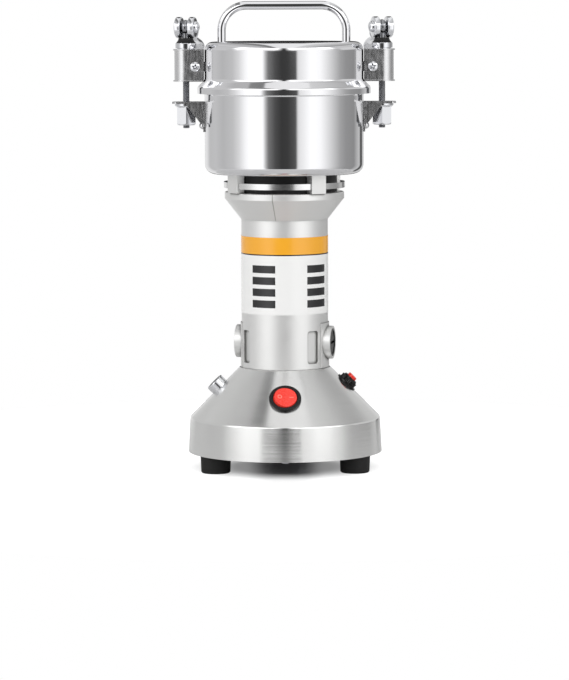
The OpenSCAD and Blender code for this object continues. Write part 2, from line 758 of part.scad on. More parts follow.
module brush_caps() {
    color([0.08, 0.08, 0.08]) for (side = [-1, 1]) along_brush(side) difference() {
        union() {
            translate([0, 0, boss_face - cap_t]) cylinder(d = cap_d, h = cap_t - 0.4);
            translate([0, 0, boss_face - cap_t]) difference() {
                cylinder(d = cap_d, h = cap_t);
                cylinder(d = cap_d - 3, h = cap_t + 1);
            }
            translate([0, 0, holder_end])
                cylinder(d = holder_d - 2 * screw_gap, h = boss_face - cap_t - holder_end + 1);
        }
        translate([-0.9, -cap_d * 0.36, boss_face - 1.8]) cube([1.8, cap_d * 0.72, 4]);
    }
}

module brush_holders() {
    start = 13.5;
    hole = brush_w + 2 * screw_gap;
    color([0.75, 0.6, 0.3]) for (side = [-1, 1]) along_brush(side) difference() {
        translate([0, 0, start]) cylinder(d = holder_d - 2 * screw_gap, h = holder_end - start);
        translate([-hole / 2, -hole / 2, start - 1]) cube([hole, hole, holder_end - start + 2]);
    }
}

module carbon_brushes() {
    color([0.18, 0.18, 0.2]) for (side = [-1, 1]) along_brush(side)
        translate([-brush_w / 2, -brush_w / 2, brush_tip]) cube([brush_w, brush_w, brush_l]);
}

// A wire of radius w wound on radius r from z = 0 to z = h
module coil_spring(r, w, h, turns) {
    steps = 14 * turns;
    sides = 6;
    points = [for (i = [0:steps], j = [0:sides - 1])
        let (a = 360 * turns * i / steps, b = 360 * j / sides, rr = r + w * cos(b))
        [rr * cos(a), rr * sin(a), w + (h - 2 * w) * i / steps + w * sin(b)]];
    rings = [for (i = [0:steps - 1], j = [0:sides - 1])
        let (p = i * sides + j, q = i * sides + (j + 1) % sides) [p, p + sides, q + sides, q]];
    ends = [[for (j = [0:sides - 1]) j], [for (j = [sides - 1:-1:0]) steps * sides + j]];
    polyhedron(points, concat(rings, ends));
}

module brush_springs() {
    back = brush_tip + brush_l;
    color([0.7, 0.7, 0.7]) for (side = [-1, 1]) along_brush(side) translate([0, 0, back])
        coil_spring(brush_w * 0.36, 0.35, holder_end - back, 5);
}

// Motor

module wedge(angle, r, h) {
    linear_extrude(h) polygon([[0, 0], [r, -r * tan(angle)], [r * 1.2, -r * 1.2 * tan(angle)],
        [r * 1.2, r * 1.2 * tan(angle)], [r, r * tan(angle)]]);
}
// Part of a tube between two radii, angle to each side of X
module tube_sector(r_in, r_out, angle, h) {
    intersection() {
        difference() {
            cylinder(r = r_out, h = h);
            translate([0, 0, -1]) cylinder(r = r_in, h = h + 2);
        }
        translate([0, 0, -1]) wedge(angle, r_out, h + 2);
    }
}
module stator_core() {
    yoke_in = column_in - yoke_t;
    color([0.45, 0.45, 0.47]) on_column() translate([0, 0, stack_z]) {
        difference() {
            cylinder(r = column_in - 0.05, h = stack_h);
            translate([0, 0, -1]) cylinder(r = yoke_in, h = stack_h + 2);
        }
        for (side = [-1, 1]) on_side(side) {
            tube_sector(shoe_in, shoe_out, 55, stack_h);
            intersection() {
                difference() {
                    cylinder(r = yoke_in + 1, h = stack_h);
                    translate([0, 0, -1]) cylinder(r = shoe_out - 0.5, h = stack_h + 2);
                }
                translate([0, -core_w / 2, 0]) cube([30, core_w, stack_h]);
            }
        }
    }
}

module field_coils() {
    over = 4;
    room = 0.2;
    color([0.72, 0.35, 0.15]) on_column() for (side = [-1, 1]) on_side(side)
        translate([0, 0, stack_z]) difference() {
            translate([0, 0, -over])
                tube_sector(shoe_out + room, shoe_out + room + coil_t, 50, stack_h + 2 * over);
            translate([0, -core_w / 2 - room, -room]) cube([30, core_w + 2 * room, stack_h + 2 * room]);
        }
}

module motor_shaft() {
    color([0.75, 0.75, 0.78]) translate([0, 0, shaft_foot]) rotate_extrude() polygon([
        [0, 0], [shaft_r - 0.5, 0], [shaft_r, 0.5], [shaft_r, shaft_top - shaft_foot - 0.8],
        [shaft_r - 0.8, shaft_top - shaft_foot], [0, shaft_top - shaft_foot]]);
}

// A round piece that is pressed onto the shaft
module shaft_bored(h) {
    difference() {
        children();
        translate([0, 0, -h]) cylinder(r = shaft_r + 0.01, h = 3 * h);
    }
}

module armature_core() {
    slot_w = 1.6;
    color([0.5, 0.5, 0.52]) translate([0, 0, stack_z]) shaft_bored(stack_h) difference() {
        cylinder(r = armature_r, h = stack_h);
        in_ring(armature_slots, armature_r + 1) translate([-slot_w / 2, 0, -1])
            cube([slot_w, 6, stack_h + 2]);
    }
}

module armature_windings() {
    reach = 7;
    color([0.72, 0.35, 0.15]) for (end = [0, 1]) translate([0, 0, stack_z + end * stack_h])
        mirror([0, 0, 1 - end]) shaft_bored(reach) rotate_extrude()
            polygon(concat([[0, 0], [armature_r - 1, 0]],
                arc([armature_r - 4, reach - 3], 3, 0, 90, 4), [[0, reach]]));
}

module commutator() {
    bars = 2 * armature_slots;
    color([0.8, 0.5, 0.3]) translate([0, 0, brush_z - commutator_h / 2]) shaft_bored(commutator_h)
        difference() {
            cylinder(r = commutator_r, h = commutator_h);
            in_ring(bars, commutator_r + 1) translate([-0.25, 0, -1]) cube([0.5, 1.8, commutator_h + 2]);
        }
}

module cooling_fan() {
    hub = 7.5;
    color([0.2, 0.2, 0.22]) translate([0, 0, fan_z]) shaft_bored(fan_h) union() {
        cylinder(r = hub, h = fan_h);
        cylinder(r = fan_r, h = 1.6);
        in_ring(fan_blades, 0) intersection() {
            translate([0, -hub + 0.5, 1]) rotate([0, 0, -25]) translate([-0.8, -fan_r, 0])
                cube([1.6, fan_r, fan_h - 1.5]);
            cylinder(r = fan_r - 0.6, h = fan_h);
        }
    }
}

// A ball bearing with its shields
module ball_bearing() {
    race = 3.4;
    difference() {
        cylinder(r = bearing_r, h = bearing_w);
        translate([0, 0, -1]) cylinder(r = shaft_r + run_fit, h = bearing_w + 2);
        for (z = [-1, bearing_w - 0.4]) translate([0, 0, z]) difference() {
            cylinder(r = bearing_r - race / 2, h = 1.4);
            translate([0, 0, -1]) cylinder(r = shaft_r + race / 2, h = 4);
        }
    }
}
module lower_bearing() {
    color([0.7, 0.72, 0.75]) translate([0, 0, hub_z]) ball_bearing();
}
module upper_bearing() {
    color([0.7, 0.72, 0.75]) translate([0, 0, disc_z - bearing_w]) ball_bearing();
}

// Neck between the column and the bowl

module neck_gasket() {
    color([0.1, 0.1, 0.1]) on_column() translate([0, 0, flange_top]) difference() {
        cylinder(r = spacer_r, h = gasket_t);
        translate([0, 0, -1]) cylinder(r = column_in, h = gasket_t + 2);
        in_ring(4, neck_screw_r) translate([0, 0, -1])
            cylinder(d = neck_screw_d + 2 * screw_gap, h = gasket_t + 2);
    }
}

module bearing_plate() {
    notch = post_w + 2 * side_gap;
    color([0.85, 0.85, 0.85]) on_column() translate([0, 0, disc_z]) difference() {
        union() {
            cylinder(r = disc_r, h = disc_t);
            translate([0, 0, -bearing_w - 1]) cylinder(r = hub_r, h = bearing_w + 2);
        }
        translate([0, 0, -bearing_w - 2]) cylinder(r = bearing_r + 0.02, h = bearing_w + 2);
        translate([0, 0, -2]) cylinder(r = shaft_r + 2, h = disc_t + 4);
        in_ring(POSTS, disc_r + 2, 45) translate([-notch / 2, 0, -1])
            cube([notch, disc_r + 2 - spacer_r, disc_t + 2]);
        in_ring(4, neck_screw_r) {
            hole_r = neck_screw_d / 2 + screw_gap;
            sink_h = 0.57 * neck_screw_d;
            translate([0, 0, -1]) cylinder(r = hole_r, h = disc_t + 2);
            translate([0, 0, disc_t - sink_h])
                cylinder(r1 = hole_r, r2 = neck_screw_d + 2 * screw_gap, h = sink_h + eps);
        }
    }
}

module bearing_plate_screws() {
    color([0.7, 0.7, 0.7]) on_column() in_ring(4, neck_screw_r) translate([0, 0, disc_top])
        flat_screw(neck_screw_d, disc_t + gasket_t + 1.75 * neck_screw_d);
}

module neck_spacer() {
    color([0.14, 0.14, 0.14]) on_column() translate([0, 0, disc_top]) difference() {
        cylinder(r = spacer_r, h = spacer_h);
        translate([0, 0, -1]) cylinder(r = spacer_r - 9, h = spacer_h + 2);
        translate([0, 0, spacer_h - 0.8]) difference() {
            cylinder(r = spacer_r + 1, h = 2);
            translate([0, 0, -1]) cylinder(r = spacer_r - 0.8, h = 4);
        }
    }
}

// Bowl and blades

module bowl() {
    color([0.85, 0.85, 0.86]) difference() {
        spun_sheet(bowl_outline(), bowl_t);
        on_column() in_ring(POSTS, post_mid, 45) translate([0, 0, bowl_z - 1])
            cylinder(d = bowl_screw_d + 2 * screw_gap, h = 4);
        for (side = [0, 180]) rotate([0, 0, side]) translate([bowl_r - 6, 0, rivet_z]) rotate([0, 90, 0])
            cylinder(d = rivet_d + 2 * screw_gap, h = 12);
    }
}

module bowl_screws() {
    color([0.75, 0.75, 0.75]) on_column() in_ring(POSTS, post_mid, 45) translate([0, 0, bowl_floor])
        pan_screw(bowl_screw_d, bowl_t + 2.3 * bowl_screw_d);
}

module shaft_seal() {
    neck = seal_r - screw_gap;
    color([0.9, 0.88, 0.8]) rotate_extrude() polygon([[shaft_r + run_fit, disc_top + 1], [neck, disc_top + 1],
        [neck, bowl_floor], [neck + 2.5, bowl_floor], [neck + 2.5, bowl_floor + 0.6],
        [neck + 1.5, bowl_floor + 1.4], [shaft_r + run_fit, bowl_floor + 1.4]]);
}

// A flat blade with two arms, ground to an edge on each leading side
module blade(r, w) {
    tip_w = w * 0.6;
    hub = w * 0.62;
    shaft_bored(blade_t) difference() {
        union() {
            cylinder(r = hub, h = blade_t);
            for (a = [0, 180]) rotate([0, 0, a]) linear_extrude(blade_t) polygon([[0, -w / 2],
                [r * 0.55, -w / 2], [r - 6, w * 0.1 - tip_w], [r - 1, w * 0.1 - tip_w * 0.4],
                [r - 2, w * 0.1], [r * 0.5, w / 2 - 1], [0, w / 2]]);
        }
        for (a = [0, 180]) rotate([0, 0, a]) translate([hub, -w / 2, 0]) rotate([0, 0, -5])
            rotate([-30, 0, 0]) translate([0, -10, 0]) cube([r, 10, 10]);
    }
}
module lower_blade() {
    color([0.78, 0.78, 0.8]) translate([0, 0, blade_z]) rotate([0, 0, 20]) blade(lower_blade_r, blade_w);
}
// The upper blade's arms are bent upwards outside the hub
module upper_blade() {
    bend = 12;
    root = 11;
    color([0.78, 0.78, 0.8]) translate([0, 0, upper_blade_z]) rotate([0, 0, 110]) {
        intersection() {
            blade(upper_blade_r, blade_w);
            translate([-root, -20, -1]) cube([2 * root, 40, blade_t + 2]);
        }
        for (a = [0, 180]) rotate([0, 0, a]) translate([root, 0, 0]) rotate([0, -bend, 0])
            translate([-root, 0, 0]) intersection() {
                blade(upper_blade_r, blade_w);
                translate([root - 0.2, -20, -1]) cube([60, 40, blade_t + 2]);
            }
    }
}
module blade_spacers() {
    color([0.7, 0.7, 0.72]) {
        translate([0, 0, bowl_floor + 1.4 + side_gap]) shaft_bored(blade_gap)
            cylinder(r = shaft_r + 3, h = blade_gap - 1.4 - side_gap);
        translate([0, 0, blade_z + blade_t]) shaft_bored(blade_step)
            cylinder(r = shaft_r + 3, h = blade_step);
    }
}
module blade_nut() {
    color([0.75, 0.75, 0.78]) translate([0, 0, upper_blade_z + blade_t]) shaft_bored(blade_nut_h)
        intersection() {
            hex_prism(blade_nut_af, blade_nut_h);
            cylinder(r1 = 0.92 * blade_nut_af, r2 = 0.49 * blade_nut_af, h = blade_nut_h);
        }
}

// Brackets on the bowl, and the clamp nuts under them

module bowl_bracket(side) {
    top_w = bracket_w / 2;
    slot_r = bolt_d / 2 + 0.4;
    back = fork_top - bracket_h;
    gusset = [[bowl_r + bracket_t, fork_top - 0.5], [clamp_r - 0.3, fork_top - 0.5],
        [clamp_r - 0.3, nut_top - 1], [bracket_out + 1.8, back + 6.5], [bracket_out - 1, back + 6.5]];
    color([0.8, 0.8, 0.8]) on_side(side) difference() {
        union() {
            // Back plate, rolled to the bowl
            translate([0, 0, back]) intersection() {
                difference() {
                    cylinder(r = bracket_out, h = bracket_h);
                    translate([0, 0, -1]) cylinder(r = bracket_in, h = bracket_h + 2);
                }
                union() {
                    translate([0, -top_w, 4]) cube([100, bracket_w, bracket_h]);
                    translate([0, -top_w / 2, 0]) cube([100, bracket_w / 2, 5]);
                }
            }
            // Slotted plate
            intersection() {
                translate([0, 0, nut_top]) difference() {
                    cylinder(r = fork_reach, h = bracket_t);
                    translate([0, 0, -1]) cylinder(r = bracket_in, h = bracket_t + 2);
                }
                translate([0, 0, nut_top - 1]) union() {
                    translate([0, -top_w, 0]) cube([fork_reach - 3, bracket_w, 4]);
                    translate([0, -top_w + 3, 0]) cube([100, bracket_w - 6, 4]);
                    for (y = [-1, 1]) translate([fork_reach - 3.9, y * (top_w - 3), 0])
                        cylinder(r = 3, h = 4);
                }
            }
            for (y = [-top_w, top_w - bracket_t]) translate([0, y + bracket_t, 0]) rotate([90, 0, 0])
                linear_extrude(bracket_t) polygon(gusset);
        }
        translate([clamp_r, 0, nut_top - 1]) cylinder(r = slot_r, h = 4);
        translate([clamp_r, -slot_r, nut_top - 1]) cube([20, 2 * slot_r, 4]);
        translate([bowl_r - 2, 0, rivet_z]) rotate([0, 90, 0]) cylinder(d = rivet_d + 2 * screw_gap, h = 10);
    }
}
module bowl_bracket_left() bowl_bracket(-1);
module bowl_bracket_right() bowl_bracket(1);

module bracket_rivets() {
    head_r = 0.87 * rivet_d;
    seat = bracket_out - bowl_r + bowl_t;
    color([0.8, 0.8, 0.8]) for (side = [-1, 1]) on_side(side)
        translate([bowl_r - bowl_t, 0, rivet_z]) rotate([0, 90, 0]) rotate_extrude() polygon(concat(
            [[0, 0], [rivet_d / 2, 0], [rivet_d / 2, seat], [head_r, seat]],
            arc([0, seat + 0.3], head_r, 10, 90, 5)));
}

module clamp_nut(side) {
    flange_t = 2;
    tip_r = 0.46 * nut_af;
    color([0.85, 0.85, 0.85]) on_side(side) translate([clamp_r, 0, nut_top]) mirror([0, 0, 1]) difference() {
        union() {
            intersection() {
                rotate([0, 0, 30]) hex_prism(nut_af, nut_h);
                // Chamfer of 45 degrees on the corners
                cylinder(r1 = tip_r + nut_h, r2 = tip_r, h = nut_h);
            }
            rotate_extrude() polygon([[0, 0], [nut_flange_d / 2 - 0.3, 0], [nut_flange_d / 2, 0.3],
                [nut_flange_d / 2, flange_t - 0.5], [nut_af / 2 + 0.3, flange_t + 0.8], [0, flange_t + 0.8]]);
        }
        translate([0, 0, -1]) cylinder(d = bolt_d + 2 * run_fit, h = nut_h + 2);
    }
}
module clamp_nut_left() clamp_nut(-1);
module clamp_nut_right() clamp_nut(1);

// Lid

module pivot_hole(d) {
    translate([pivot_r, 30, pivot_z]) rotate([90, 0, 0]) cylinder(d = d, h = 60);
}

module lid() {
    lug_r = 3.4;
    lug_w = box_w - 2 * box_t - 2 * side_gap;
    color([0.86, 0.86, 0.87]) difference() {
        union() {
            spun_sheet(lid_outline(), lid_t);
            // Lugs that the clamp boxes hang on
            for (side = [-1, 1]) on_side(side) difference() {
                union() {
                    translate([bowl_r - 3, -lug_w / 2, pivot_z - lug_r])
                        cube([pivot_r - bowl_r + 3, lug_w, 2 * lug_r]);
                    translate([pivot_r, lug_w / 2, pivot_z]) rotate([90, 0, 0])
                        cylinder(r = lug_r, h = lug_w);
                }
                cylinder(r = bowl_r - 0.3, h = 400);
            }
        }
        for (side = [-1, 1]) {
            on_side(side) pivot_hole(pivot_screw_d + 2 * screw_gap);
            translate([side * handle_x, 0, lid_top - 5]) cylinder(d = rod_d + 2 * screw_gap, h = 10);
        }
    }
}

module lid_seal() {
    step_line = lid_skirt_r + lid_z + lid_edge_h - lid_t * sqrt(2) - 0.05;
    seal_in = bowl_r - bowl_t + 1;
    seal_out = rim_r - 0.4;
    color([0.93, 0.93, 0.93]) rotate_extrude() polygon([[seal_in, rim_top], [seal_out, rim_top],
        [seal_out, step_line - seal_out], [seal_in, step_line - seal_in]]);
}

module lid_handle() {
    leg = handle_h - rod_d / 2 - handle_bend_r;
    corner_x = handle_x - handle_bend_r;
    color([0.85, 0.85, 0.86]) {
        for (side = [-1, 1]) on_side(side) {
            translate([handle_x, 0, lid_top - lid_t - handle_nut_h])
                cylinder(d = rod_d, h = leg + lid_t + handle_nut_h);
            translate([corner_x, 0, lid_top + leg]) rotate([90, 0, 0]) rotate_extrude(angle = 90)
                translate([handle_bend_r, 0]) circle(d = rod_d);
        }
        translate([-corner_x, 0, lid_top + handle_h - rod_d / 2]) rotate([0, 90, 0])
            cylinder(d = rod_d, h = 2 * corner_x);
    }
}

module handle_nuts() {
    color([0.75, 0.75, 0.75]) for (side = [-1, 1])
        translate([side * handle_x, 0, lid_top - lid_t - handle_nut_h]) difference() {
            hex_prism(1.5 * rod_d, handle_nut_h);
            translate([0, 0, -1]) cylinder(d = rod_d + 2 * screw_gap, h = handle_nut_h + 2);
        }
}

// Clamps on the lid

// Outline of a clamp box, moved out by grow
module box_outline(grow, h) {
    w = box_w / 2 + grow;
    start = bowl_r + 0.6;
    translate([start, -w, 0]) cube([clamp_r - start, 2 * w, h]);
    translate([clamp_r, 0, 0]) cylinder(r = w, h = h);
}

module clamp_box(side) {
    color([0.82, 0.82, 0.82]) on_side(side) difference() {
        union() {
            translate([0, 0, box_z]) box_outline(0, box_h);
            for (z = [box_z, box_top - box_plate_t]) translate([0, 0, z])
                box_outline(box_plate_lip, box_plate_t);
        }
        translate([0, 0, box_z + box_plate_t]) {
            translate([clamp_r, 0, 0]) cylinder(r = box_w / 2 - box_t, h = box_h - 2 * box_plate_t);
            translate([bowl_r - 2, -box_w / 2 + box_t, 0])
                cube([clamp_r - bowl_r + 2, box_w - 2 * box_t, box_h - 2 * box_plate_t]);
        }
        translate([clamp_r, 0, box_z - 1]) cylinder(d = bolt_d + 0.8, h = box_h + 2);
        pivot_hole(pivot_screw_d + 2 * screw_gap);
    }
}
module clamp_box_left() clamp_box(-1);
module clamp_box_right() clamp_box(1);

module clamp_screws() {
    color([0.85, 0.85, 0.85]) for (side = [-1, 1]) on_side(side)
        translate([pivot_r, -box_w / 2, pivot_z]) rotate([90, 0, 0])
            pan_screw(pivot_screw_d, box_w + 1, 1.73);
}

// Frame of a lever: X along its pin and outwards, Y along the handle
module at_pin(side) {
    on_side(side) translate([clamp_r, 0, pin_z]) rotate([0, 0, lever_yaw]) children();
}

module eye_bolts() {
    r = bolt_d / 2;
    l = pin_z - bolt_end - 2;
    color([0.6, 0.6, 0.62]) for (side = [-1, 1]) difference() {
        union() {
            on_side(side) translate([clamp_r, 0, bolt_end])
                rotate_extrude() polygon([[0, 0], [r - 0.6, 0], [r, 0.6], [r, l], [0, l]]);
            at_pin(side) rotate([0, 90, 0]) translate([0, 0, -eye_t / 2]) cylinder(d = eye_d, h = eye_t);
        }
        at_pin(side) rotate([0, 90, 0]) translate([0, 0, -eye_t])
            cylinder(d = lever_pin_d + 2 * run_fit, h = 2 * eye_t);
    }
}

// Turned steel cups, which spread the cams' force on the boxes
module clamp_cups() {
    r = cup_d / 2;
    color([0.8, 0.8, 0.8]) for (side = [-1, 1]) on_side(side) translate([clamp_r, 0, box_top])
        rotate_extrude() polygon([[cup_bore, 0], [r - 1.2, 0], [r - 1.2, 0.6], [r - 0.3, 0.6], [r, 0.9],
            [r, cup_band_h - 0.3], [r - 0.3, cup_band_h], [cup_bore, cup_band_h]]);
}

// Nylon seats in the cups, which the cams slide on
module cam_seats() {
    foot_r = cup_d / 2 - 0.7;
    top_r = foot_r - 1.6;
    color([0.1, 0.1, 0.1]) for (side = [-1, 1]) on_side(side) translate([clamp_r, 0, box_top])
        rotate_extrude() polygon(concat([[cup_bore, cup_band_h], [foot_r, cup_band_h]],
            [for (i = [0:6]) let (t = i / 6) [top_r + (foot_r - top_r) * pow(1 - t, 2),
                cup_band_h + 0.4 + (cup_h - cup_band_h - 0.4) * t]],
            [[cup_bore, cup_h]]));
}

// A cam lobe: a disc on the X axis with softened edges
module cam_lobe() {
    edge = 0.9;
    rotate([0, 90, 0]) rotate_extrude() polygon([[0, 0], [cam_r, 0], [cam_r, cam_t - edge],
        [cam_r - edge, cam_t], [0, cam_t]]);
}

module cam_lever(side) {
    outer = lobe_from + cam_t;
    web = eye_d / 2 + 1.2;
    tip_r = 4.4;
    sag = 1.3;
    steps = 10;
    // S-shaped side view of the handle, and its outline from above
    middle = [for (i = [0:steps]) let (t = i / steps) [web + (lever_l - web) * t, -sag * sin(360 * t)]];
    half = [for (p = middle) [0, lever_t / 2]];
    plan = concat([[-outer, web], [outer, web], [outer, web + 2], [tip_r + 0.4, web + 9]],
        arc([0, lever_l - tip_r], tip_r, 0, 180, 10), [[-tip_r - 0.4, web + 9], [-outer, web + 2]]);
    color([0.83, 0.83, 0.83]) at_pin(side) rotate([-lever_dip, 0, 0]) difference() {
        union() {
            translate([0, cam_offset * sin(lever_dip), -cam_offset * cos(lever_dip)]) {
                translate([lobe_from, 0, 0]) cam_lobe();
                mirror([1, 0, 0]) translate([lobe_from, 0, 0]) cam_lobe();
            }
            intersection() {
                translate([-outer, 0, 0]) rotate([90, 0, 90]) linear_extrude(2 * outer)
                    polygon(concat(middle - half, backwards(middle + half)));
                translate([0, 0, -20]) linear_extrude(40) polygon(plan);
            }
            // Cheeks that join the lobes to the handle
            for (x = [-outer, lobe_from]) translate([x, 0, -lever_t / 2]) cube([cam_t, web + 1, lever_t]);
        }
        rotate([0, 90, 0]) translate([0, 0, -20]) cylinder(d = lever_pin_d + 2 * run_fit, h = 40);
    }
}
module cam_lever_left() cam_lever(-1);
module cam_lever_right() cam_lever(1);

module lever_pins() {
    half = lobe_from + cam_t;
    seat = half + 0.1;
    head_r = 1.05 * lever_pin_d;
    head_h = 0.75 * lever_pin_d;
    dome = [for (i = [1:6]) [head_r * cos(15 * i), seat + head_h * sin(15 * i)]];
    color([0.8, 0.8, 0.82]) for (side = [-1, 1]) at_pin(side) rotate([0, -90, 0]) rotate_extrude()
        polygon(concat([[0, -half - 0.3], [lever_pin_d / 2, -half - 0.3], [lever_pin_d / 2, seat],
            [head_r, seat]], dome));
}

foot_front_left();
foot_front_right();
foot_rear();
foot_screws();
base_cover();
base_ring();
bottom_plate();
plate_screws();
switch_housing();
rocker_button();
breaker_body();
breaker_nut();
reset_button();
cord_gland();
gland_locknut();
column_housing();
column_screws();
motor_label();
brush_caps();
brush_holders();
carbon_brushes();
brush_springs();
stator_core();
field_coils();
motor_shaft();
armature_core();
armature_windings();
commutator();
cooling_fan();
lower_bearing();
upper_bearing();
neck_gasket();
bearing_plate();
bearing_plate_screws();
neck_spacer();
bowl();
bowl_screws();
shaft_seal();
lower_blade();
upper_blade();
blade_spacers();
blade_nut();
bowl_bracket_left();
bowl_bracket_right();
bracket_rivets();
lid();
lid_seal();
lid_handle();
handle_nuts();
clamp_box_left();
clamp_box_right();
clamp_screws();
eye_bolts();
clamp_cups();
cam_seats();
cam_lever_left();
cam_lever_right();
lever_pins();
clamp_nut_left();
clamp_nut_right();
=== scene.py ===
# %% [markdown]
# # Electric grain mill
# A closed steel bowl stands on a slim motor column, and the column stands on a spun steel base. The
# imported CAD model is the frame: it fixes every size and every moving body. This script dresses it. Most
# of the mill is polished metal, and polished metal shows nothing but what is around it, so the studio
# that is built here matters as much as the materials do.

import math

import bmesh
import bpy
import numpy as np
from mathutils import Matrix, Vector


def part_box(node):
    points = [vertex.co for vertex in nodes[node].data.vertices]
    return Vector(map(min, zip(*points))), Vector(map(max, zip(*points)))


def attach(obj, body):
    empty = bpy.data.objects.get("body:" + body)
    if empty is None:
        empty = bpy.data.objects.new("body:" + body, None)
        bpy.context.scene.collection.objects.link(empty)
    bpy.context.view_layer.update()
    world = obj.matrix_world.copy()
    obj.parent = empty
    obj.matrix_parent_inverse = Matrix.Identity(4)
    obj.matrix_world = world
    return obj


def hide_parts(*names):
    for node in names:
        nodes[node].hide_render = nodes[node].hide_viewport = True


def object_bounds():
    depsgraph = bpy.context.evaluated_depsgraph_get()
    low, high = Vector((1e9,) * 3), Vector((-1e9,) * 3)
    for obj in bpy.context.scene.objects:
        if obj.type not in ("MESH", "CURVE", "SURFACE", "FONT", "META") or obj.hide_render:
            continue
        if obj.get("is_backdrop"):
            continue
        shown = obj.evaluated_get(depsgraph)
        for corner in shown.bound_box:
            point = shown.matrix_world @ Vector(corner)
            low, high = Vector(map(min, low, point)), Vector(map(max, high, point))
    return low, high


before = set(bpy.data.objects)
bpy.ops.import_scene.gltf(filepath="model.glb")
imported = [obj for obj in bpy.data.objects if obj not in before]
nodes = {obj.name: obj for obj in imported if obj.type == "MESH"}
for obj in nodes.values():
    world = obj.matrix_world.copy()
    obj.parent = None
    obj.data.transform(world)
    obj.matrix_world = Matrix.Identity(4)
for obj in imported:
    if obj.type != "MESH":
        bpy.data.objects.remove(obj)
cad_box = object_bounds()
MM = 0.001
print("nodes:", len(nodes), "height in mm:", round((cad_box[1].z - cad_box[0].z) / MM, 1))

# %% [markdown]
# ## Surfaces from arrays
# A spun bowl, a bent rod and a screw thread are all surfaces of two parameters: where along a profile,
# and how far round. So each is worked out as one array of points, in rows and columns, and one function
# joins neighbouring points into four-sided faces. No loop runs over single points.

# %% Profiles


def arc(centre, radius, start, stop, steps=10):
    """Points centre + radius (cos t, sin t), with t going from start to stop degrees."""
    t = np.radians(np.linspace(start, stop, steps + 1))
    return np.stack([centre[0] + radius * np.cos(t), centre[1] + radius * np.sin(t)], 1)


def outline(*parts):
    """One list of points from single points and arcs."""
    return np.concatenate([np.atleast_2d(np.asarray(p, float)) for p in parts])


def rounded(corners, radii, steps):
    """A line through the corners, each rounded by its own radius: the arc touches both sides at
    radius * tan(turn / 2) from the corner. A radius of 0 keeps the corner."""
    corners = np.asarray(corners, float)
    points = [corners[:1]]
    for before, corner, after, radius in zip(corners, corners[1:], corners[2:], radii):
        into = (corner - before) / np.linalg.norm(corner - before)
        out = (after - corner) / np.linalg.norm(after - corner)
        turn = math.atan2(into[0] * out[1] - into[1] * out[0], into @ out)
        if radius == 0:
            points.append(corner[None])
            continue
        side = math.copysign(1, turn)
        left = np.array([-into[1], into[0]])
        centre = corner - into * radius * math.tan(abs(turn) / 2) + side * radius * left
        start = math.degrees(math.atan2(into[1], into[0])) - side * 90
        points.append(arc(centre, radius, start, start + math.degrees(turn), steps))
    return np.concatenate(points + [corners[-1:]])


print("points in a quarter turn of 10 mm:", len(arc([0, 0], 10, 0, 90)))

# %% [markdown]
# A grid of points becomes a closed skin. Three ways of making the grid are enough for the whole mill: a
# profile spun round an axis, closed sections joined in order, and a circle carried along a path.

# %% Grids of points to closed skins


def skin(grid, wrap_rows=False):
    """Joins a grid of points, shaped rows x columns x 3, whose columns close round, into quads. The skin
    is turned outwards: a closed skin's signed volume, from a . (b x c) over its faces, is positive."""
    rows, columns = grid.shape[:2]
    r, c = np.meshgrid(np.arange(rows if wrap_rows else rows - 1), np.arange(columns), indexing="ij")
    up, right = (r + 1) % rows, (c + 1) % columns
    quads = np.stack([r * columns + c, r * columns + right, up * columns + right, up * columns + c], -1)
    quads = quads.reshape(-1, 4)
    points = grid.reshape(-1, 3)
    a, b, c, d = (points[quads[:, i]] for i in range(4))
    volume = np.sum(a * np.cross(b, c)) + np.sum(a * np.cross(c, d))
    return points, quads if volume > 0 else quads[:, ::-1]


def spun(profile, steps):
    """The profile of (radius, height) points turned round Z: x = r cos t, y = r sin t. A profile that
    starts and ends on the axis closes at its poles, and any other one closes on itself."""
    t = np.linspace(0, 2 * math.pi, steps, endpoint=False)
    r, z = profile[:, :1], profile[:, 1:]
    grid = np.stack([r * np.cos(t), r * np.sin(t), z + 0 * t], -1)
    return skin(grid, wrap_rows=profile[0, 0] > 0)


def lofted(sections):
    """Closed sections, shaped count x points x 3, joined in order, with each end drawn in to a pole."""
    first, last = (np.repeat(sections[i].mean(0)[None, None], sections.shape[1], 1) for i in (0, -1))
    return skin(np.concatenate([first, sections, last]))


def swept(path, radius, sides):
    """A round rod along a path in one plane through Z: at each point the circle spans the plane's own
    normal and the path's left side."""
    along = np.gradient(path, axis=0)
    along /= np.linalg.norm(along, axis=1, keepdims=True)
    across = np.cross(path[1] - path[0], path[len(path) // 2] - path[0])
    across /= np.linalg.norm(across)
    left = np.cross(across, along)
    t = np.linspace(0, 2 * math.pi, sides, endpoint=False)[:, None]
    circle = np.cos(t) * across + np.sin(t) * left[:, None, :]
    return lofted(path[:, None, :] + np.reshape(radius, (-1, 1, 1)) * circle)


def turned(part, matrix):
    """The same skin with its points carried by a 4 x 4 matrix."""
    points, quads = part
    moved = points @ matrix[:3, :3].T + matrix[:3, 3]
    return moved, quads if np.linalg.det(matrix[:3, :3]) > 0 else quads[:, ::-1]


print("faces of a test ring:", len(spun(arc([20, 0], 5, 0, 360, 12)[:-1], 48)[1]))

# %% [markdown]
# Skins are made upright at the origin, and a 4 x 4 matrix carries their points to their place. The object
# itself is never moved, and so its finish keeps the same millimetres everywhere. Turns are in degrees, as
# on a drawing.

# %% Places


def shift(x, y, z):
    """Moves by x, y and z."""
    made = np.eye(4)
    made[:3, 3] = x, y, z
    return made


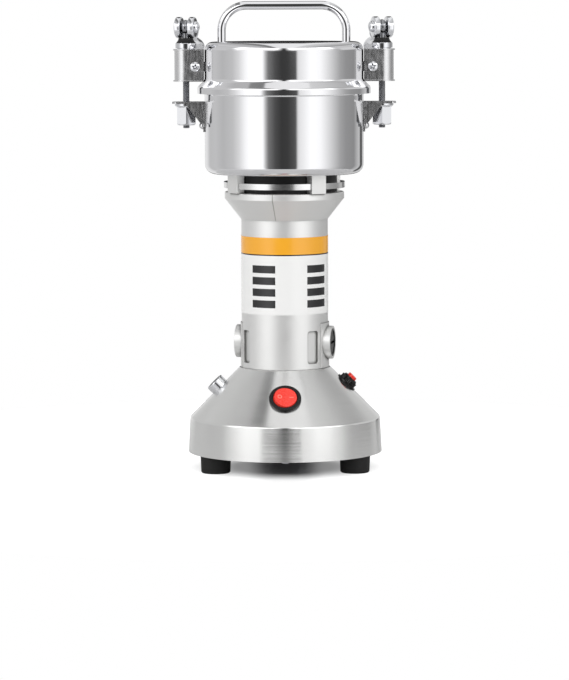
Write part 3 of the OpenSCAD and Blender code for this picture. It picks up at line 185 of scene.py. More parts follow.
def spin(degrees, axis):
    """Turns round X, Y or Z, counterclockwise when the axis points at the viewer."""
    c, s = math.cos(math.radians(degrees)), math.sin(math.radians(degrees))
    i, j = {"X": (1, 2), "Y": (2, 0), "Z": (0, 1)}[axis]
    made = np.eye(4)
    made[i, i], made[j, j], made[i, j], made[j, i] = c, c, -s, s
    return made


def on_side(side):
    """Left (-1) is the right side (1) mirrored."""
    return np.diag([side, 1, 1, 1]).astype(float)


print("a quarter turn round Z takes X to", (spin(90, "Z") @ [1, 0, 0, 1])[:3].round(3).tolist())

# %% [markdown]
# One or more skins become one mesh object, on the moving body that carries it, with its finish and the
# CAD nodes that it stands for. A hole in a shell is cut by a Boolean, which leaves the same clean edge as
# a drill.

# %% Skins to objects


def weld(mesh, distance=MM / 10000):
    """Merges points that lie together, which closes poles."""
    work = bmesh.new()
    work.from_mesh(mesh)
    bmesh.ops.remove_doubles(work, verts=work.verts, dist=distance)
    bmesh.ops.dissolve_degenerate(work, edges=work.edges, dist=distance)
    work.to_mesh(mesh)
    work.free()


def piece(name, parts, material, body, stands_for=(), crease=35):
    """One mesh object from skins in millimetres. Doubled points at poles are merged, and edges that turn
    more than crease degrees stay sharp."""
    starts = np.cumsum([0] + [len(points) for points, _ in parts])
    points = np.concatenate([p for p, _ in parts]) * MM
    quads = np.concatenate([q + start for (_, q), start in zip(parts, starts)])
    mesh = bpy.data.meshes.new(name)
    mesh.from_pydata(points, [], quads)
    made = bpy.data.objects.new(name, mesh)
    bpy.context.scene.collection.objects.link(made)
    weld(mesh)
    mesh.shade_smooth()
    mesh.set_sharp_from_angle(angle=math.radians(crease))
    mesh.materials.append(material)
    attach(made, body)
    if stands_for:
        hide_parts(*stands_for)
    print(f"{name}: {len(mesh.polygons)} faces on {body}")
    return made


def cut(target, cutter):
    """Takes the cutter's space out of the target, as a drill or a punch does, and deletes the cutter."""
    tool = target.modifiers.new("cut", "BOOLEAN")
    tool.operation, tool.object, tool.solver = "DIFFERENCE", cutter, "EXACT"
    left = bpy.data.meshes.new_from_object(target.evaluated_get(bpy.context.evaluated_depsgraph_get()))
    target.modifiers.clear()
    target.data = left
    bpy.data.objects.remove(cutter)
    print(f"{target.name}: {len(left.polygons)} faces after the cut")


print("skins are worked out in mm and kept in metres, by a factor of", MM)

# %% [markdown]
# ## Nodes
# The studio and every finish are trees of shader nodes. One small function adds a node with its settings
# and its links, and a finish then reads as a list of what is laid over what. Sockets that share their name
# with others are given by number: a Mix node's two colours are 6 and 7, and a Map Range node carries the
# range from 1 to 2 over to the range from 3 to 4.

# %% Colours and nodes


def linear(hex_code):
    """An sRGB colour #RRGGBB as linear light: c / 12.92 up to 0.04045, and ((c + 0.055) / 1.055) ** 2.4
    above it."""
    c = np.array([int(hex_code[i:i + 2], 16) for i in (1, 3, 5)]) / 255
    c = np.where(c <= 0.04045, c / 12.92, ((c + 0.055) / 1.055) ** 2.4)
    return (*c.tolist(), 1.0)


def add(tree, kind, inputs=None, **fields):
    """Adds a node, sets its own fields, and sets or links its inputs, by name or by number. A node given
    as an input links the first of its outputs that is in use."""
    made = tree.nodes.new("ShaderNode" + kind)
    for field, value in fields.items():
        setattr(made, field, value)
    for key, value in (inputs or {}).items():
        if isinstance(value, bpy.types.Node):
            value = next(output for output in value.outputs if output.enabled)
        if isinstance(value, bpy.types.NodeSocket):
            tree.links.new(value, made.inputs[key])
        else:
            made.inputs[key].default_value = value
    return made


def grey(value):
    """A neutral colour of one brightness, in linear light."""
    return (value, value, value, 1)


def base(name, colour, **sockets):
    """A new material with one Principled shader, and the sockets that are the same all over."""
    made = bpy.data.materials.new(name)
    made.use_nodes = True
    tree = made.node_tree
    tree.nodes.clear()
    shader = add(tree, "BsdfPrincipled", {"Base Color": linear(colour)})
    for key, value in sockets.items():
        shader.inputs[key.replace("_", " ")].default_value = value
    add(tree, "OutputMaterial", {0: shader})
    return made, tree, shader


print("mid grey #808080 in linear light:", round(linear("#808080")[0], 3))

# %% [markdown]
# ## The studio
# A mirror-bright bowl has hardly any colour of its own. What the eye reads as its shape is the reflection
# of two tall soft boxes with a dark gap between them, and of grey walls further round. Panels around the
# mill could do that, but they would stand in the way of every other view. So the world itself is the
# studio: its brightness follows the compass direction near the horizon, and the lean to left or right
# overhead. High windows in front, between the two, light everything that isn't metal, and a dim sill
# under them keeps the brushed skirt from going black in the gap. A narrow black flag behind the mill
# gives rods and rims the dark edge that sets them off from the white.

# %% Brightness all round
# At each compass angle: 0 is behind the camera, and positive angles are on its right.
WALL = [(-180, 0.95), (-150, 0.85), (-138, 0.62), (-119, 0.66), (-100, 0.58), (-80, 0.66), (-69, 0.86),
        (-58, 1.2), (-48, 1.4), (-31, 1.3), (-27, 0.6), (-23, 0.22), (-13, 0.09), (-4, 0.05), (5, 0.055),
        (17, 0.11), (20, 0.95), (29, 1.12), (40, 1.35), (54, 1.25), (66, 0.95), (77, 0.7), (89, 0.46),
        (101, 0.36), (122, 0.32), (130, 0.5), (141, 0.66), (146, 0.1), (154, 0.08), (159, 0.6), (180, 0.85)]
# The windows in front stand above the walls and leave the same dark gap, down to a black bar at 0.
WINDOWS = [(-180, 0.8), (-90, 1.0), (-70, 3.0), (-32, 3.0), (-26, 2.7), (-14, 2.6), (-1.5, 0.04),
           (1.5, 0.04), (12, 2.6), (18, 2.6), (23, 2.9), (70, 2.7), (90, 0.8), (180, 0.6)]
# At each lean from straight up: positive angles lean to the camera's right.
CEILING = [(-90, 0.72), (-55, 0.68), (-52, 0.58), (-50.5, 0.58), (-49.5, 0.82), (-44, 0.7), (-38, 0.68),
           (-33, 0.56), (-24.6, 0.57), (-23.4, 0.29), (-14.4, 0.25), (-13.2, 0.98), (0, 1.04), (17.4, 1.04),
           (18.6, 0.79), (27, 0.72), (37, 0.56), (43, 0.45), (48.6, 0.36), (49.6, 0.8), (53, 0.76),
           (56, 0.64), (60, 0.68), (70, 0.82), (90, 0.72)]
# The sill's share of the windows, the flag behind the mill, and the floor far below.
SILL, FLAG, FLOOR = 0.36, 0.03, 0.8
# Heights where a zone fades in: above the walls, the windows' foot and head, and the ground.
ABOVE, FOOT, HEAD, GROUND = (0.06, 0.12), (0.3, 0.36), (0.58, 0.64), (-0.4, -0.5)
# Distances away from the camera where the sill and the windows end and the ceiling begins.
PAST_SILL, PAST_WINDOWS = (-0.12, 0.12), (-0.3, 0.0)
print("stops:", len(WALL), "on the wall,", len(WINDOWS), "in the windows and", len(CEILING), "overhead")

# %% [markdown]
# A direction in the world is a point (x, y, z) on a ball round the mill, with x to the camera's right, y
# away from it and z up. Each zone of the studio is laid over the one before it and fades in between two
# values of x, y or z. The camera itself sees plain white, and so the background stays white. Polished
# metal sees the studio, whose back wall is nearly as white as that background.

# %% The world as a studio
world = bpy.data.worlds.new("studio")
bpy.context.scene.world = world
world.use_nodes = True
sky = world.node_tree
sky.nodes.clear()
x, y, z = add(sky, "SeparateXYZ", {0: add(sky, "TexCoord").outputs["Generated"]}).outputs
front = add(sky, "Math", {0: y, 1: -1.0}, operation="MULTIPLY")
wide = add(sky, "Math", {0: x}, operation="ABSOLUTE")


def looked_up(across, ahead, stops, full_turn):
    """Brightness at the angle atan2(across, ahead) in degrees, read between the stops."""
    angle = add(sky, "Math", {0: across, 1: ahead}, operation="ARCTAN2")
    half = math.radians(full_turn / 2)
    ramp = add(sky, "ValToRGB", {0: add(sky, "MapRange", {0: angle, 1: -half, 2: half})})
    elements = ramp.color_ramp.elements
    for i, (degrees, value) in enumerate(stops):
        position = 0.5 + degrees / full_turn
        element = elements[i] if i < 2 else elements.new(position)
        element.position, element.color = position, grey(value)
    return ramp


def layered(under, upper, value, start, end):
    """The upper brightness laid over the one under it, fading in as the value goes from start to end."""
    share = add(sky, "MapRange", {0: value, 1: start, 2: end}, interpolation_type="SMOOTHSTEP")
    return add(sky, "Mix", {0: share, 6: under, 7: upper}, data_type="RGBA")


walls = looked_up(x, front, WALL, 360)
windows = looked_up(x, front, WINDOWS, 360)
ceiling = looked_up(x, z, CEILING, 180)
dim = add(sky, "Mix", {0: SILL, 6: grey(0), 7: windows}, data_type="RGBA")
sill = add(sky, "Mix", {0: 1.0, 6: walls, 7: dim}, data_type="RGBA", blend_type="LIGHTEN")
roofed = layered(walls, layered(sill, ceiling, y, *PAST_SILL), z, *ABOVE)
windowed = layered(roofed, layered(windows, ceiling, y, *PAST_WINDOWS), z, *FOOT)
topped = layered(windowed, ceiling, z, *HEAD)
# The flag has four edges: its two sides together, its face away from the camera, its foot and its top.
flagged = grey(FLAG)
for value, start, end in ((wide, 0.15, 0.1), (y, 0.3, 0.4), (z, -0.4, -0.36), (z, 0.86, 0.78)):
    flagged = layered(topped, flagged, value, start, end)
studio = layered(flagged, grey(FLOOR), z, *GROUND)
lit = add(sky, "Background", {0: studio})
white = add(sky, "Background", {0: grey(1)})
shown = add(sky, "MixShader", {0: add(sky, "LightPath").outputs["Is Camera Ray"], 1: lit, 2: white})
add(sky, "OutputWorld", {0: shown})
print("nodes in the studio:", len(sky.nodes))

# %% [markdown]
# The table is a round disc, small enough that the mirror-bright walls above it look past its edge to the
# studio. Its lacquer is half gloss, so at this low angle it also mirrors the base softly. A glow for
# camera rays alone brings the open board up to the white of the background. It fades out towards the
# mill, so the shadow there stays. The brushed skirt mirrors the board without that glow.

# %% Table
TABLE_R = 420 * MM
# The glow's strength, and the distances from the middle where it starts and is full. A second glow counts
# the distance to the left or right alone, because light comes in between the feet there.
GLOW, GLOW_FROM, GLOW_TO = 0.62, 32 * MM, 74 * MM
SIDE_GLOW, SIDE_FROM, SIDE_TO = 0.2, 12 * MM, 30 * MM


def lacquered_board():
    """Pale lacquered board, half gloss, with a glow that only the camera sees."""
    made, tree, board = base("lacquered_board", "#D0D0D0", Roughness=0.2, Specular_IOR_Level=0.3)
    place = add(tree, "TexCoord").outputs["Object"]
    away = add(tree, "VectorMath", {0: place}, operation="LENGTH")
    beside = add(tree, "Math", {0: add(tree, "SeparateXYZ", {0: place})}, operation="ABSOLUTE")
    ring = {0: away, 1: GLOW_FROM, 2: GLOW_TO, 4: GLOW}
    sides = {0: beside, 1: SIDE_FROM, 2: SIDE_TO, 4: SIDE_GLOW}
    ring, sides = (add(tree, "MapRange", at, interpolation_type="SMOOTHSTEP") for at in (ring, sides))
    glow = add(tree, "Emission", {0: grey(1), 1: add(tree, "Math", {0: ring, 1: sides}, operation="ADD")})
    both = add(tree, "AddShader", {0: board, 1: glow})
    shown = add(tree, "MixShader", {0: add(tree, "LightPath").outputs["Is Camera Ray"], 1: board, 2: both})
    tree.links.new(shown.outputs[0], tree.nodes["Material Output"].inputs[0])
    return made


def table_mesh(radius, rings=12, steps=96):
    """A flat disc of rings x steps points: r cos t, r sin t, with r growing to the radius."""
    r = np.linspace(0, radius, rings)[1:, None]
    t = np.linspace(0, 2 * math.pi, steps, endpoint=False)
    grid = np.stack([r * np.cos(t), r * np.sin(t), 0 * r * t], -1).reshape(-1, 3)
    points = np.concatenate([grid, [[0, 0, 0]]])
    at = np.arange((rings - 2) * steps)
    turn = (at + 1) % steps - at % steps
    quads = np.stack([at, at + steps, at + steps + turn, at + turn], 1).tolist()
    hub = [[i, (i + 1) % steps, len(points) - 1] for i in range(steps)]
    mesh = bpy.data.meshes.new("table")
    mesh.from_pydata(points, [], quads + hub)
    return mesh


table = bpy.data.objects.new("table", table_mesh(TABLE_R))
table.data.materials.append(lacquered_board())
bpy.context.scene.collection.objects.link(table)
table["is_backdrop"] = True
print("table:", len(table.data.polygons), "faces,", round(2 * TABLE_R / MM), "mm across")

# %% [markdown]
# One soft box hangs above the mill, in front of it and to the left. It lights the board and the plastics.
# Metal doesn't mirror it, because in the reflections the studio's own windows have its place.

# %% Lamp
BOX_SIDE, BOX_POWER, BOX_PLACE, BOX_LEAN = 0.9, 3.0, (-0.35, -0.55, 1.5), (20, -13)
lamp = bpy.data.lights.new("overhead_soft_box", "AREA")
lamp.shape, lamp.size, lamp.size_y, lamp.energy = "RECTANGLE", BOX_SIDE, BOX_SIDE, BOX_POWER
hung = bpy.data.objects.new("overhead_soft_box", lamp)
hung.location = BOX_PLACE
hung.rotation_euler = (math.radians(BOX_LEAN[0]), math.radians(BOX_LEAN[1]), 0)
hung.visible_glossy = False
bpy.context.scene.collection.objects.link(hung)
hung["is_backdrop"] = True
print("soft box:", lamp.energy, "W from", BOX_PLACE[2], "m up")

# %% [markdown]
# A long lens from 2.48 m away keeps the column's sides nearly parallel. The camera stands just above the
# lid, looks down at the lower end of the motor column and is rolled by a fifth of a degree.

# %% Camera
EYE = np.array([0, -2480, 338]) * MM
AIM = np.array([-0.32, 0, 92.5]) * MM
ROLL, LENS, SENSOR = 0.2, 182.4, 36
camera = bpy.data.objects.new("camera", bpy.data.cameras.new("camera"))
camera.data.lens, camera.data.sensor_width = LENS, SENSOR
ahead = (AIM - EYE) / np.linalg.norm(AIM - EYE)
right = np.cross(ahead, [0, 0, 1]) / np.linalg.norm(np.cross(ahead, [0, 0, 1]))
stand = np.eye(4)
stand[:3] = np.stack([right, np.cross(right, ahead), -ahead, EYE], 1)
camera.matrix_world = Matrix(stand @ spin(-ROLL, "Z"))
camera.data.clip_start, camera.data.clip_end = 0.1, 20
bpy.context.scene.collection.objects.link(camera)
bpy.context.scene.camera = camera
bpy.context.scene.view_settings.view_transform = "Standard"
print("camera looks down by", round(-math.degrees(math.asin(ahead[2])), 2), "degrees")

# %% [markdown]
# ## Finishes
# Every finish starts from one Principled shader. What makes it read as metal, rubber or nylon is the
# small unevenness of its gloss, so each one gets a pattern at the size of its own grain, worked out in
# millimetres from the piece's own coordinates.

# %% Patterns


def grain(tree, size, stretch=(1, 1, 1), detail=2.0):
    """Noise from 0 to 1 with lumps of size millimetres, drawn out along an axis where its stretch is
    under 1."""
    place = add(tree, "TexCoord").outputs["Object"]
    drawn = add(tree, "Mapping", {"Vector": place, "Scale": stretch})
    return add(tree, "TexNoise", {"Vector": drawn, "Scale": 1 / (size * MM), "Detail": detail})


def glossed(tree, shader, pattern, low, high):
    """Lets the roughness follow a pattern from 0 to 1, between low and high."""
    rough = add(tree, "MapRange", {0: pattern, 3: low, 4: high})
    tree.links.new(rough.outputs[0], shader.inputs["Roughness"])


def bumped(tree, shader, height, depth, strength, under=None):
    """Raises the surface by height times depth millimetres, on top of an earlier bump or bevel."""
    bump = add(tree, "Bump", {"Strength": strength, "Distance": depth * MM, "Height": height})
    if under:
        tree.links.new(under.outputs[0], bump.inputs["Normal"])
    tree.links.new(bump.outputs[0], shader.inputs["Normal"])
    return bump


def coloured(tree, shader, ground, *layers):
    """A ground colour with others laid over it in order, each by its own share from 0 to 1."""
    tone = linear(ground)
    for share, colour in layers:
        tone = add(tree, "Mix", {0: share, 6: tone, 7: linear(colour)}, data_type="RGBA")
    tree.links.new(tone.outputs[2], shader.inputs["Base Color"])


def plain_metal(name, colour, low, high, size):
    """A metal of one colour, whose roughness wanders between low and high over size millimetres."""
    made, tree, shader = base(name, colour, Metallic=1.0)
    glossed(tree, shader, grain(tree, size), low, high)
    return made


print("lumps of 0.8 mm are noise at scale", round(1 / (0.8 * MM)))

# %% [markdown]
# Stainless steel is used three ways. The bowl, lid and handle are buffed until they mirror, the base is
# spun and left with the fine rings of the abrasive, and the brackets are punched from polished sheet. The
# rings on the base smear a reflection up and down but leave it sharp from side to side, which is what
# anisotropy round the Z axis does.

# %% Stainless steel


def buffed_stainless():
    """304 stainless, buffed: mirror-like, with patches where the wheel cut a little more."""
    made, tree, shader = base("buffed_stainless", "#E3E3E5", Metallic=1.0)
    glossed(tree, shader, grain(tree, 14, (1, 1, 0.6)), 0.045, 0.105)
    bumped(tree, shader, grain(tree, 1.1, (0.12, 0.12, 1)), 0.004, 0.35)
    return made


def spun_stainless():
    """430 stainless, spun on a lathe and brushed as it turned: rings about 0.9 mm apart and finer, with
    clouds 22 mm wide where the abrasive was pressed harder."""
    made, tree, shader = base("spun_stainless", "#E0E0DF", Metallic=1.0, Anisotropic=0.9,
                              Anisotropic_Rotation=0.25)
    rings = grain(tree, 0.9, (0.02, 0.02, 1), 4.0)
    clouded = add(tree, "Math", {0: rings, 1: grain(tree, 22)}, operation="MULTIPLY")
    glossed(tree, shader, clouded, 0.13, 0.42)
    around = add(tree, "Tangent", direction_type="RADIAL", axis="Z")
    tree.links.new(around.outputs[0], shader.inputs["Tangent"])
    bumped(tree, shader, rings, 0.008, 0.5)
    return made


def sheet_stainless():
    """Cold rolled stainless sheet, polished before it was bent: a softer mirror with rolling lines 1.6 mm
    apart. Its punched edges are broken by 0.25 mm, so each of them carries a thin highlight."""
    made, tree, shader = base("sheet_stainless", "#DADADB", Metallic=1.0)
    lines = grain(tree, 1.6, (1, 1, 0.3), 3.0)
    glossed(tree, shader, lines, 0.1, 0.4)
    bumped(tree, shader, lines, 0.01, 0.4, add(tree, "Bevel", {"Radius": 0.25 * MM}, samples=4))
    return made


STAINLESS = {
    "buffed_stainless": buffed_stainless(),
    # Drawn rod, polished: a sharp mirror, with faint waves along it.
    "polished_rod": plain_metal("polished_rod", "#E4E4E6", 0.015, 0.05, 6),
    "spun_stainless": spun_stainless(),
    "sheet_stainless": sheet_stainless(),
}
print("stainless steel:", len(STAINLESS), "finishes")

# %% [markdown]
# The motor column is an aluminium casting, blasted with glass beads. Blasting leaves pits of about a
# third of a millimetre, too small to see one by one, but together they spread every reflection wide.
# Shade is painted into the casting's colour: ambient occlusion finds corners and recesses and darkens
# them to grey. The plate above the column was turned in a lathe, and the small screws and the clamp parts
# are plated.

# %% Other metals
SEAM_ANGLE, SEAM_WIDTH, SEAM_FROM = -11.5, 1.0, 180.6
# Painted shade: how far the ambient occlusion looks, and the occlusion values where the painted shade is full
# and where it ends.
SHADE_REACH, FULL_SHADE_BELOW, NO_SHADE_ABOVE = 2.5, 0.45, 0.95


def placed(tree):
    """A point's angle round the Z axis in radians, 0 at the front and growing to the right, and its
    height in metres."""
    x, y, z = add(tree, "SeparateXYZ", {0: add(tree, "TexCoord").outputs["Object"]}).outputs
    front = add(tree, "Math", {0: y, 1: -1.0}, operation="MULTIPLY")
    return add(tree, "Math", {0: x, 1: front}, operation="ARCTAN2"), z


def inside(tree, value, low, high):
    """1 where the value lies between low and high, and 0 elsewhere."""
    return add(tree, "Math", {0: value, 1: (low + high) / 2, 2: (high - low) / 2}, operation="COMPARE")


def blasted_aluminium():
    """Cast aluminium, bead blasted: pits about 0.35 mm wide, drawn at 0.8 mm so that they show. Painted
    shade darkens its colour in corners that see little open space within the occlusion's reach. On the
    flare a parting line stands 0.1 mm proud, in the plane where the two halves of the mould met, and grit
    from the blasting greys it."""
    made, tree, shader = base("blasted_aluminium", "#EAEAE9", Metallic=1.0)
    glossed(tree, shader, grain(tree, 9), 0.41, 0.5)
    angle, z = placed(tree)
    ends = (math.radians(SEAM_ANGLE + side * SEAM_WIDTH / 2) for side in (-1, 1))
    high = add(tree, "Math", {0: z, 1: SEAM_FROM * MM}, operation="GREATER_THAN")
    seam = add(tree, "Math", {0: inside(tree, angle, *ends), 1: high}, operation="MULTIPLY")
    edge = add(tree, "Bevel", {"Radius": 0.5 * MM}, samples=4)
    pitted = bumped(tree, shader, grain(tree, 0.8, detail=3.0), 0.05, 0.6, edge)
    bumped(tree, shader, seam, 0.1, 1.0, pitted)
    # Painted shade: the colour goes from grey in corners to the casting's own pale colour in the open.
    painted_shade_ao = add(tree, "AmbientOcclusion", {"Distance": SHADE_REACH * MM}, samples=8, only_local=True)
    unshaded_share = add(tree, "MapRange", {0: painted_shade_ao.outputs["AO"], 1: FULL_SHADE_BELOW, 2: NO_SHADE_ABOVE})
    coloured(tree, shader, "#6E6E6B", (unshaded_share, "#EAEAE9"), (seam, "#BABAB6"))
    return made


def turned_aluminium():
    """Aluminium plate, turned: fine rings round its axis, drawn 1 mm apart so that they show."""
    made, tree, shader = base("turned_aluminium", "#E4E4E4", Metallic=1.0)
    glossed(tree, shader, grain(tree, 1.0, (0.2, 0.2, 1)), 0.12, 0.25)
    return made


def chrome_plate():
    """Nickel and chrome on steel: nearly a mirror, with the faint waves of the steel under it."""
    made, tree, shader = base("chrome_plate", "#E0E1E4", Metallic=1.0)
    glossed(tree, shader, grain(tree, 3), 0.02, 0.08)
    bumped(tree, shader, grain(tree, 2.2), 0.02, 0.15)
    return made


METALS = {
    "blasted_aluminium": blasted_aluminium(),
    "turned_aluminium": turned_aluminium(),
    "chrome_plate": chrome_plate(),
    # Blue zinc on steel: grey, with cloudy gloss. The bolts' copy is smoother, and its colour is painted
    # darker: painted shade for the thread's grooves and the gaps between the eye and the lobes.
    "zinc_plate": plain_metal("zinc_plate", "#B4B6BA", 0.22, 0.42, 1.6),
    "shade_darkened_zinc": plain_metal("shade_darkened_zinc", "#96979A", 0.14, 0.28, 1.2),
    # Turned brass is half bright. Copper wire has a clear enamel, which softens its shine.
    "brass": plain_metal("turned_brass", "#CDAF6A", 0.2, 0.35, 1.5),
    "copper": plain_metal("enamelled_copper", "#B4673A", 0.25, 0.4, 0.8),
    # Punched sheet with a thin oxide is dull grey, and pressed carbon nearly black with a faint shine.
    "electrical_steel": plain_metal("electrical_steel", "#8A8B8F", 0.35, 0.55, 0.5),
    "carbon": plain_metal("pressed_carbon", "#3A3A3D", 0.5, 0.65, 0.6),
}
print("other metals:", len(METALS), "finishes")

# %% [markdown]
# The dark pieces differ only in their gloss: moulded nylon has a soft shine and an orange-peel skin,
# rubber has almost none. The red of the rocker and of the reset button is polycarbonate coloured all
# through.

# %% Plastics and rubber
PEEL = 1.2


def moulded(name, colour, low, high, **sockets):
    """A moulded plastic: roughness between low and high, and a skin with soft lumps of PEEL mm."""
    made, tree, shader = base(name, colour, IOR=1.53, **sockets)
    glossed(tree, shader, grain(tree, PEEL), low, high)
    bumped(tree, shader, grain(tree, PEEL), 0.02, 0.3)
    return made


def black_rubber():
    """Moulded nitrile rubber with a fine matt grain and a pale bloom on it."""
    made, tree, shader = base("black_rubber", "#121212", IOR=1.52, Specular_IOR_Level=0.35)
    bloom = grain(tree, 5)
    coloured(tree, shader, "#0B0B0B", (bloom, "#1D1D1D"))
    glossed(tree, shader, bloom, 0.55, 0.72)
    bumped(tree, shader, grain(tree, 0.4), 0.03, 0.5)
    return made


PLASTICS = {
    # Nylon from a polished mould has a soft shine, and from an etched one nearly none.
    "black_nylon": moulded("moulded_nylon", "#0A0A0B", 0.2, 0.34, Specular_IOR_Level=0.3),
    "matt_nylon": moulded("matt_nylon", "#0C0C0D", 0.42, 0.58, Specular_IOR_Level=0.3),
    "black_rubber": black_rubber(),
    "red_polycarbonate": moulded("red_polycarbonate", "#F23A2C", 0.22, 0.32),
    # Silicone: milky white, with a dull skin.
    "white_silicone": moulded("white_silicone", "#E4E3DE", 0.4, 0.55),
}
print("plastics and rubber:", len(PLASTICS), "finishes")

# %% [markdown]
# The label is a printed film round the column: an orange band above a light field with two columns of
# dark boxes. The boxes are left empty. They repeat every 8.3 mm, so one wrapped height and two ranges of
# angle draw all eight of them.

# %% Printed label
LABEL_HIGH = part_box("motor_label")[1].z / MM
BAND_LOW, LINE_H = LABEL_HIGH - 12.1, 0.9
ROWS, ROW_PITCH, ROW_START, ROW_SHARE = 4, 8.3, 0.17, 0.66
ROWS_TO = LABEL_HIGH - 18.6
ROWS_FROM = ROWS_TO - ROWS * ROW_PITCH
BOX_ANGLES = ((-47.2, -12.4), (30.8, 65.4))


def printed_label():
    """Glossy polyester film, printed. A row's height within its pitch is the fraction of
    (z - ROWS_FROM) / ROW_PITCH."""
    made, tree, shader = base("printed_label", "#F1F1F0", IOR=1.55, Roughness=0.22)
    angle, z = placed(tree)
    raised = add(tree, "Math", {0: z, 1: ROWS_FROM * MM}, operation="SUBTRACT")
    raised = add(tree, "Math", {0: raised, 1: ROW_PITCH * MM}, operation="DIVIDE")
    in_row = inside(tree, add(tree, "Math", {0: raised}, operation="FRACT"), ROW_START, ROW_START + ROW_SHARE)
    in_rows = inside(tree, z, ROWS_FROM * MM, ROWS_TO * MM)
    rows = add(tree, "Math", {0: in_row, 1: in_rows}, operation="MULTIPLY")
    left, right = (inside(tree, angle, *(math.radians(a) for a in ends)) for ends in BOX_ANGLES)
    columns = add(tree, "Math", {0: left, 1: right}, operation="ADD")
    boxes = add(tree, "Math", {0: rows, 1: columns}, operation="MULTIPLY")
    band = inside(tree, z, BAND_LOW * MM, (LABEL_HIGH + 1) * MM)
    line = inside(tree, z, (BAND_LOW - LINE_H) * MM, BAND_LOW * MM)
    coloured(tree, shader, "#F1F1F0", (boxes, "#1C1C1E"), (band, "#F6AE2E"), (line, "#2A1C12"))
    return made


FINISH = STAINLESS | METALS | PLASTICS | {"printed_label": printed_label()}
print("finishes:", len(FINISH), "with a label of", ROWS, "rows")

# %% [markdown]
# ## CAD pieces that keep their shape
# Most small pieces come from the CAD model as they are, and only take a finish. Their meshes stay as they
# are. A bevel in the shader alone softens the edges of the casting and of the punched sheet.

# %% Finishes on CAD pieces
KEPT = {
    "black_rubber": ["foot_front_left", "foot_front_right", "foot_rear", "neck_gasket"],
    "black_nylon": ["switch_housing", "breaker_body", "breaker_nut", "brush_caps"],
    "matt_nylon": ["neck_spacer", "cooling_fan", "cam_seats"],
    "red_polycarbonate": ["rocker_button", "reset_button"],
    "zinc_plate": ["foot_screws", "base_ring", "bottom_plate", "plate_screws", "gland_locknut",
                   "column_screws", "brush_springs", "motor_shaft", "bearing_plate_screws", "bowl_screws",
                   "handle_nuts", "eye_bolts"],
    "chrome_plate": ["cord_gland", "lower_bearing", "upper_bearing", "clamp_screws", "clamp_nut_left",
                     "clamp_nut_right", "clamp_cups", "cam_lever_left", "cam_lever_right", "lever_pins"],
    "blasted_aluminium": ["column_housing"],
    "turned_aluminium": ["bearing_plate"],
    "sheet_stainless": ["lower_blade", "upper_blade", "blade_spacers", "blade_nut", "bowl_bracket_left",
                        "bowl_bracket_right", "bracket_rivets", "clamp_box_left", "clamp_box_right"],
    "white_silicone": ["shaft_seal", "lid_seal"],
    "printed_label": ["motor_label"],
    "brass": ["brush_holders"],
    "carbon": ["carbon_brushes"],
    "copper": ["field_coils", "armature_windings", "commutator"],
    "electrical_steel": ["stator_core", "armature_core"],
}
for finish, names in KEPT.items():
    for name in names:
        nodes[name].data.materials.clear()
        nodes[name].data.materials.append(FINISH[finish])
print("CAD pieces with a finish:", sum(len(names) for names in KEPT.values()))

# %% [markdown]
# ## Spun shells
# Bowl, lid and base are spun from sheet over a wooden form, so each is one profile turned round the motor
# axis. On a mirror the eye finds every flat spot, so the bends are true arcs with many points.

# %% Sheet and heights


def sheet(path, thickness):
    """A sheet's closed outline: the path, and back again moved to its left by the thickness. Where sides
    with left normals a and b meet, the move is (a + b) / (1 + a . b)."""
    side = np.diff(path, axis=0)
    side /= np.linalg.norm(side, axis=1, keepdims=True)
    left = np.stack([-side[:, 1], side[:, 0]], 1)
    a, b = np.concatenate([left[:1], left]), np.concatenate([left, left[-1:]])
    moved = path + thickness * (a + b) / (1 + np.sum(a * b, 1, keepdims=True))
    return np.concatenate([path, moved[::-1]])


def level(node, end=1):
    """The level in mm of a CAD node's top (1) or foot (0)."""
    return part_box(node)[end].z / MM


print("top of the handle:", round(level("lid_handle"), 1), "mm")

# %% [markdown]
# The bowl has a floor with an opening for the shaft's seal, a straight wall and a rim rolled outwards by a
# quarter turn. Its path runs from that opening to the rim, along the outside.

# %% Bowl
BOWL_R, SHEET_T, RIM_R, OPENING_R, FLOOR_BEND, FACETS = 57, 1.2, 2.9, 11, 7, 288
bowl_low, bowl_top = level("bowl", 0), level("bowl")
rim_z = bowl_top - SHEET_T
bowl_path = rounded([[OPENING_R, bowl_low], [BOWL_R, bowl_low], [BOWL_R, rim_z], [BOWL_R + RIM_R, rim_z]],
                    [FLOOR_BEND, RIM_R - 0.02], 14)
bowl = piece("bowl_shell", [spun(sheet(bowl_path, SHEET_T), FACETS)], FINISH["buffed_stainless"], "root",
             ["bowl"])

# %% [markdown]
# The lid's skirt reaches over the bowl's rim and steps in to the bowl's own width. Two lugs on its wall
# carry the clamp boxes. They are part of the same skin, as if welded on and buffed with it.

# %% Lid
SKIRT_R, STEP_FROM, STEP_TO, LID_BENDS = 62.1, 4.5, 9.6, [2.4, 3.5, 6]
lid_low, lid_top = level("lid", 0), level("lid")
lid_path = rounded([[SKIRT_R, lid_low], [SKIRT_R, lid_low + STEP_FROM], [BOWL_R, lid_low + STEP_TO],
                    [BOWL_R, lid_top], [0.01, lid_top]], LID_BENDS, 12)
HEAD_R = 3.46
LUG_W, LUG_R, PIVOT = 13.2, 3.4, (63.7, level("clamp_screws", 0) + HEAD_R)


def lug(side):
    """The block that a clamp box hangs on: a bar from within the lid's wall with a round end, across Y."""
    root = BOWL_R - SHEET_T / 2
    plan = outline([root, PIVOT[1] - LUG_R], arc(PIVOT, LUG_R, -90, 90, 12), [root, PIVOT[1] + LUG_R])
    y = np.array([-LUG_W / 2, LUG_W / 2])[:, None]
    sections = np.stack([plan[:, 0] + 0 * y, y + 0 * plan[:, 0], plan[:, 1] + 0 * y], -1)
    return turned(lofted(sections), on_side(side))


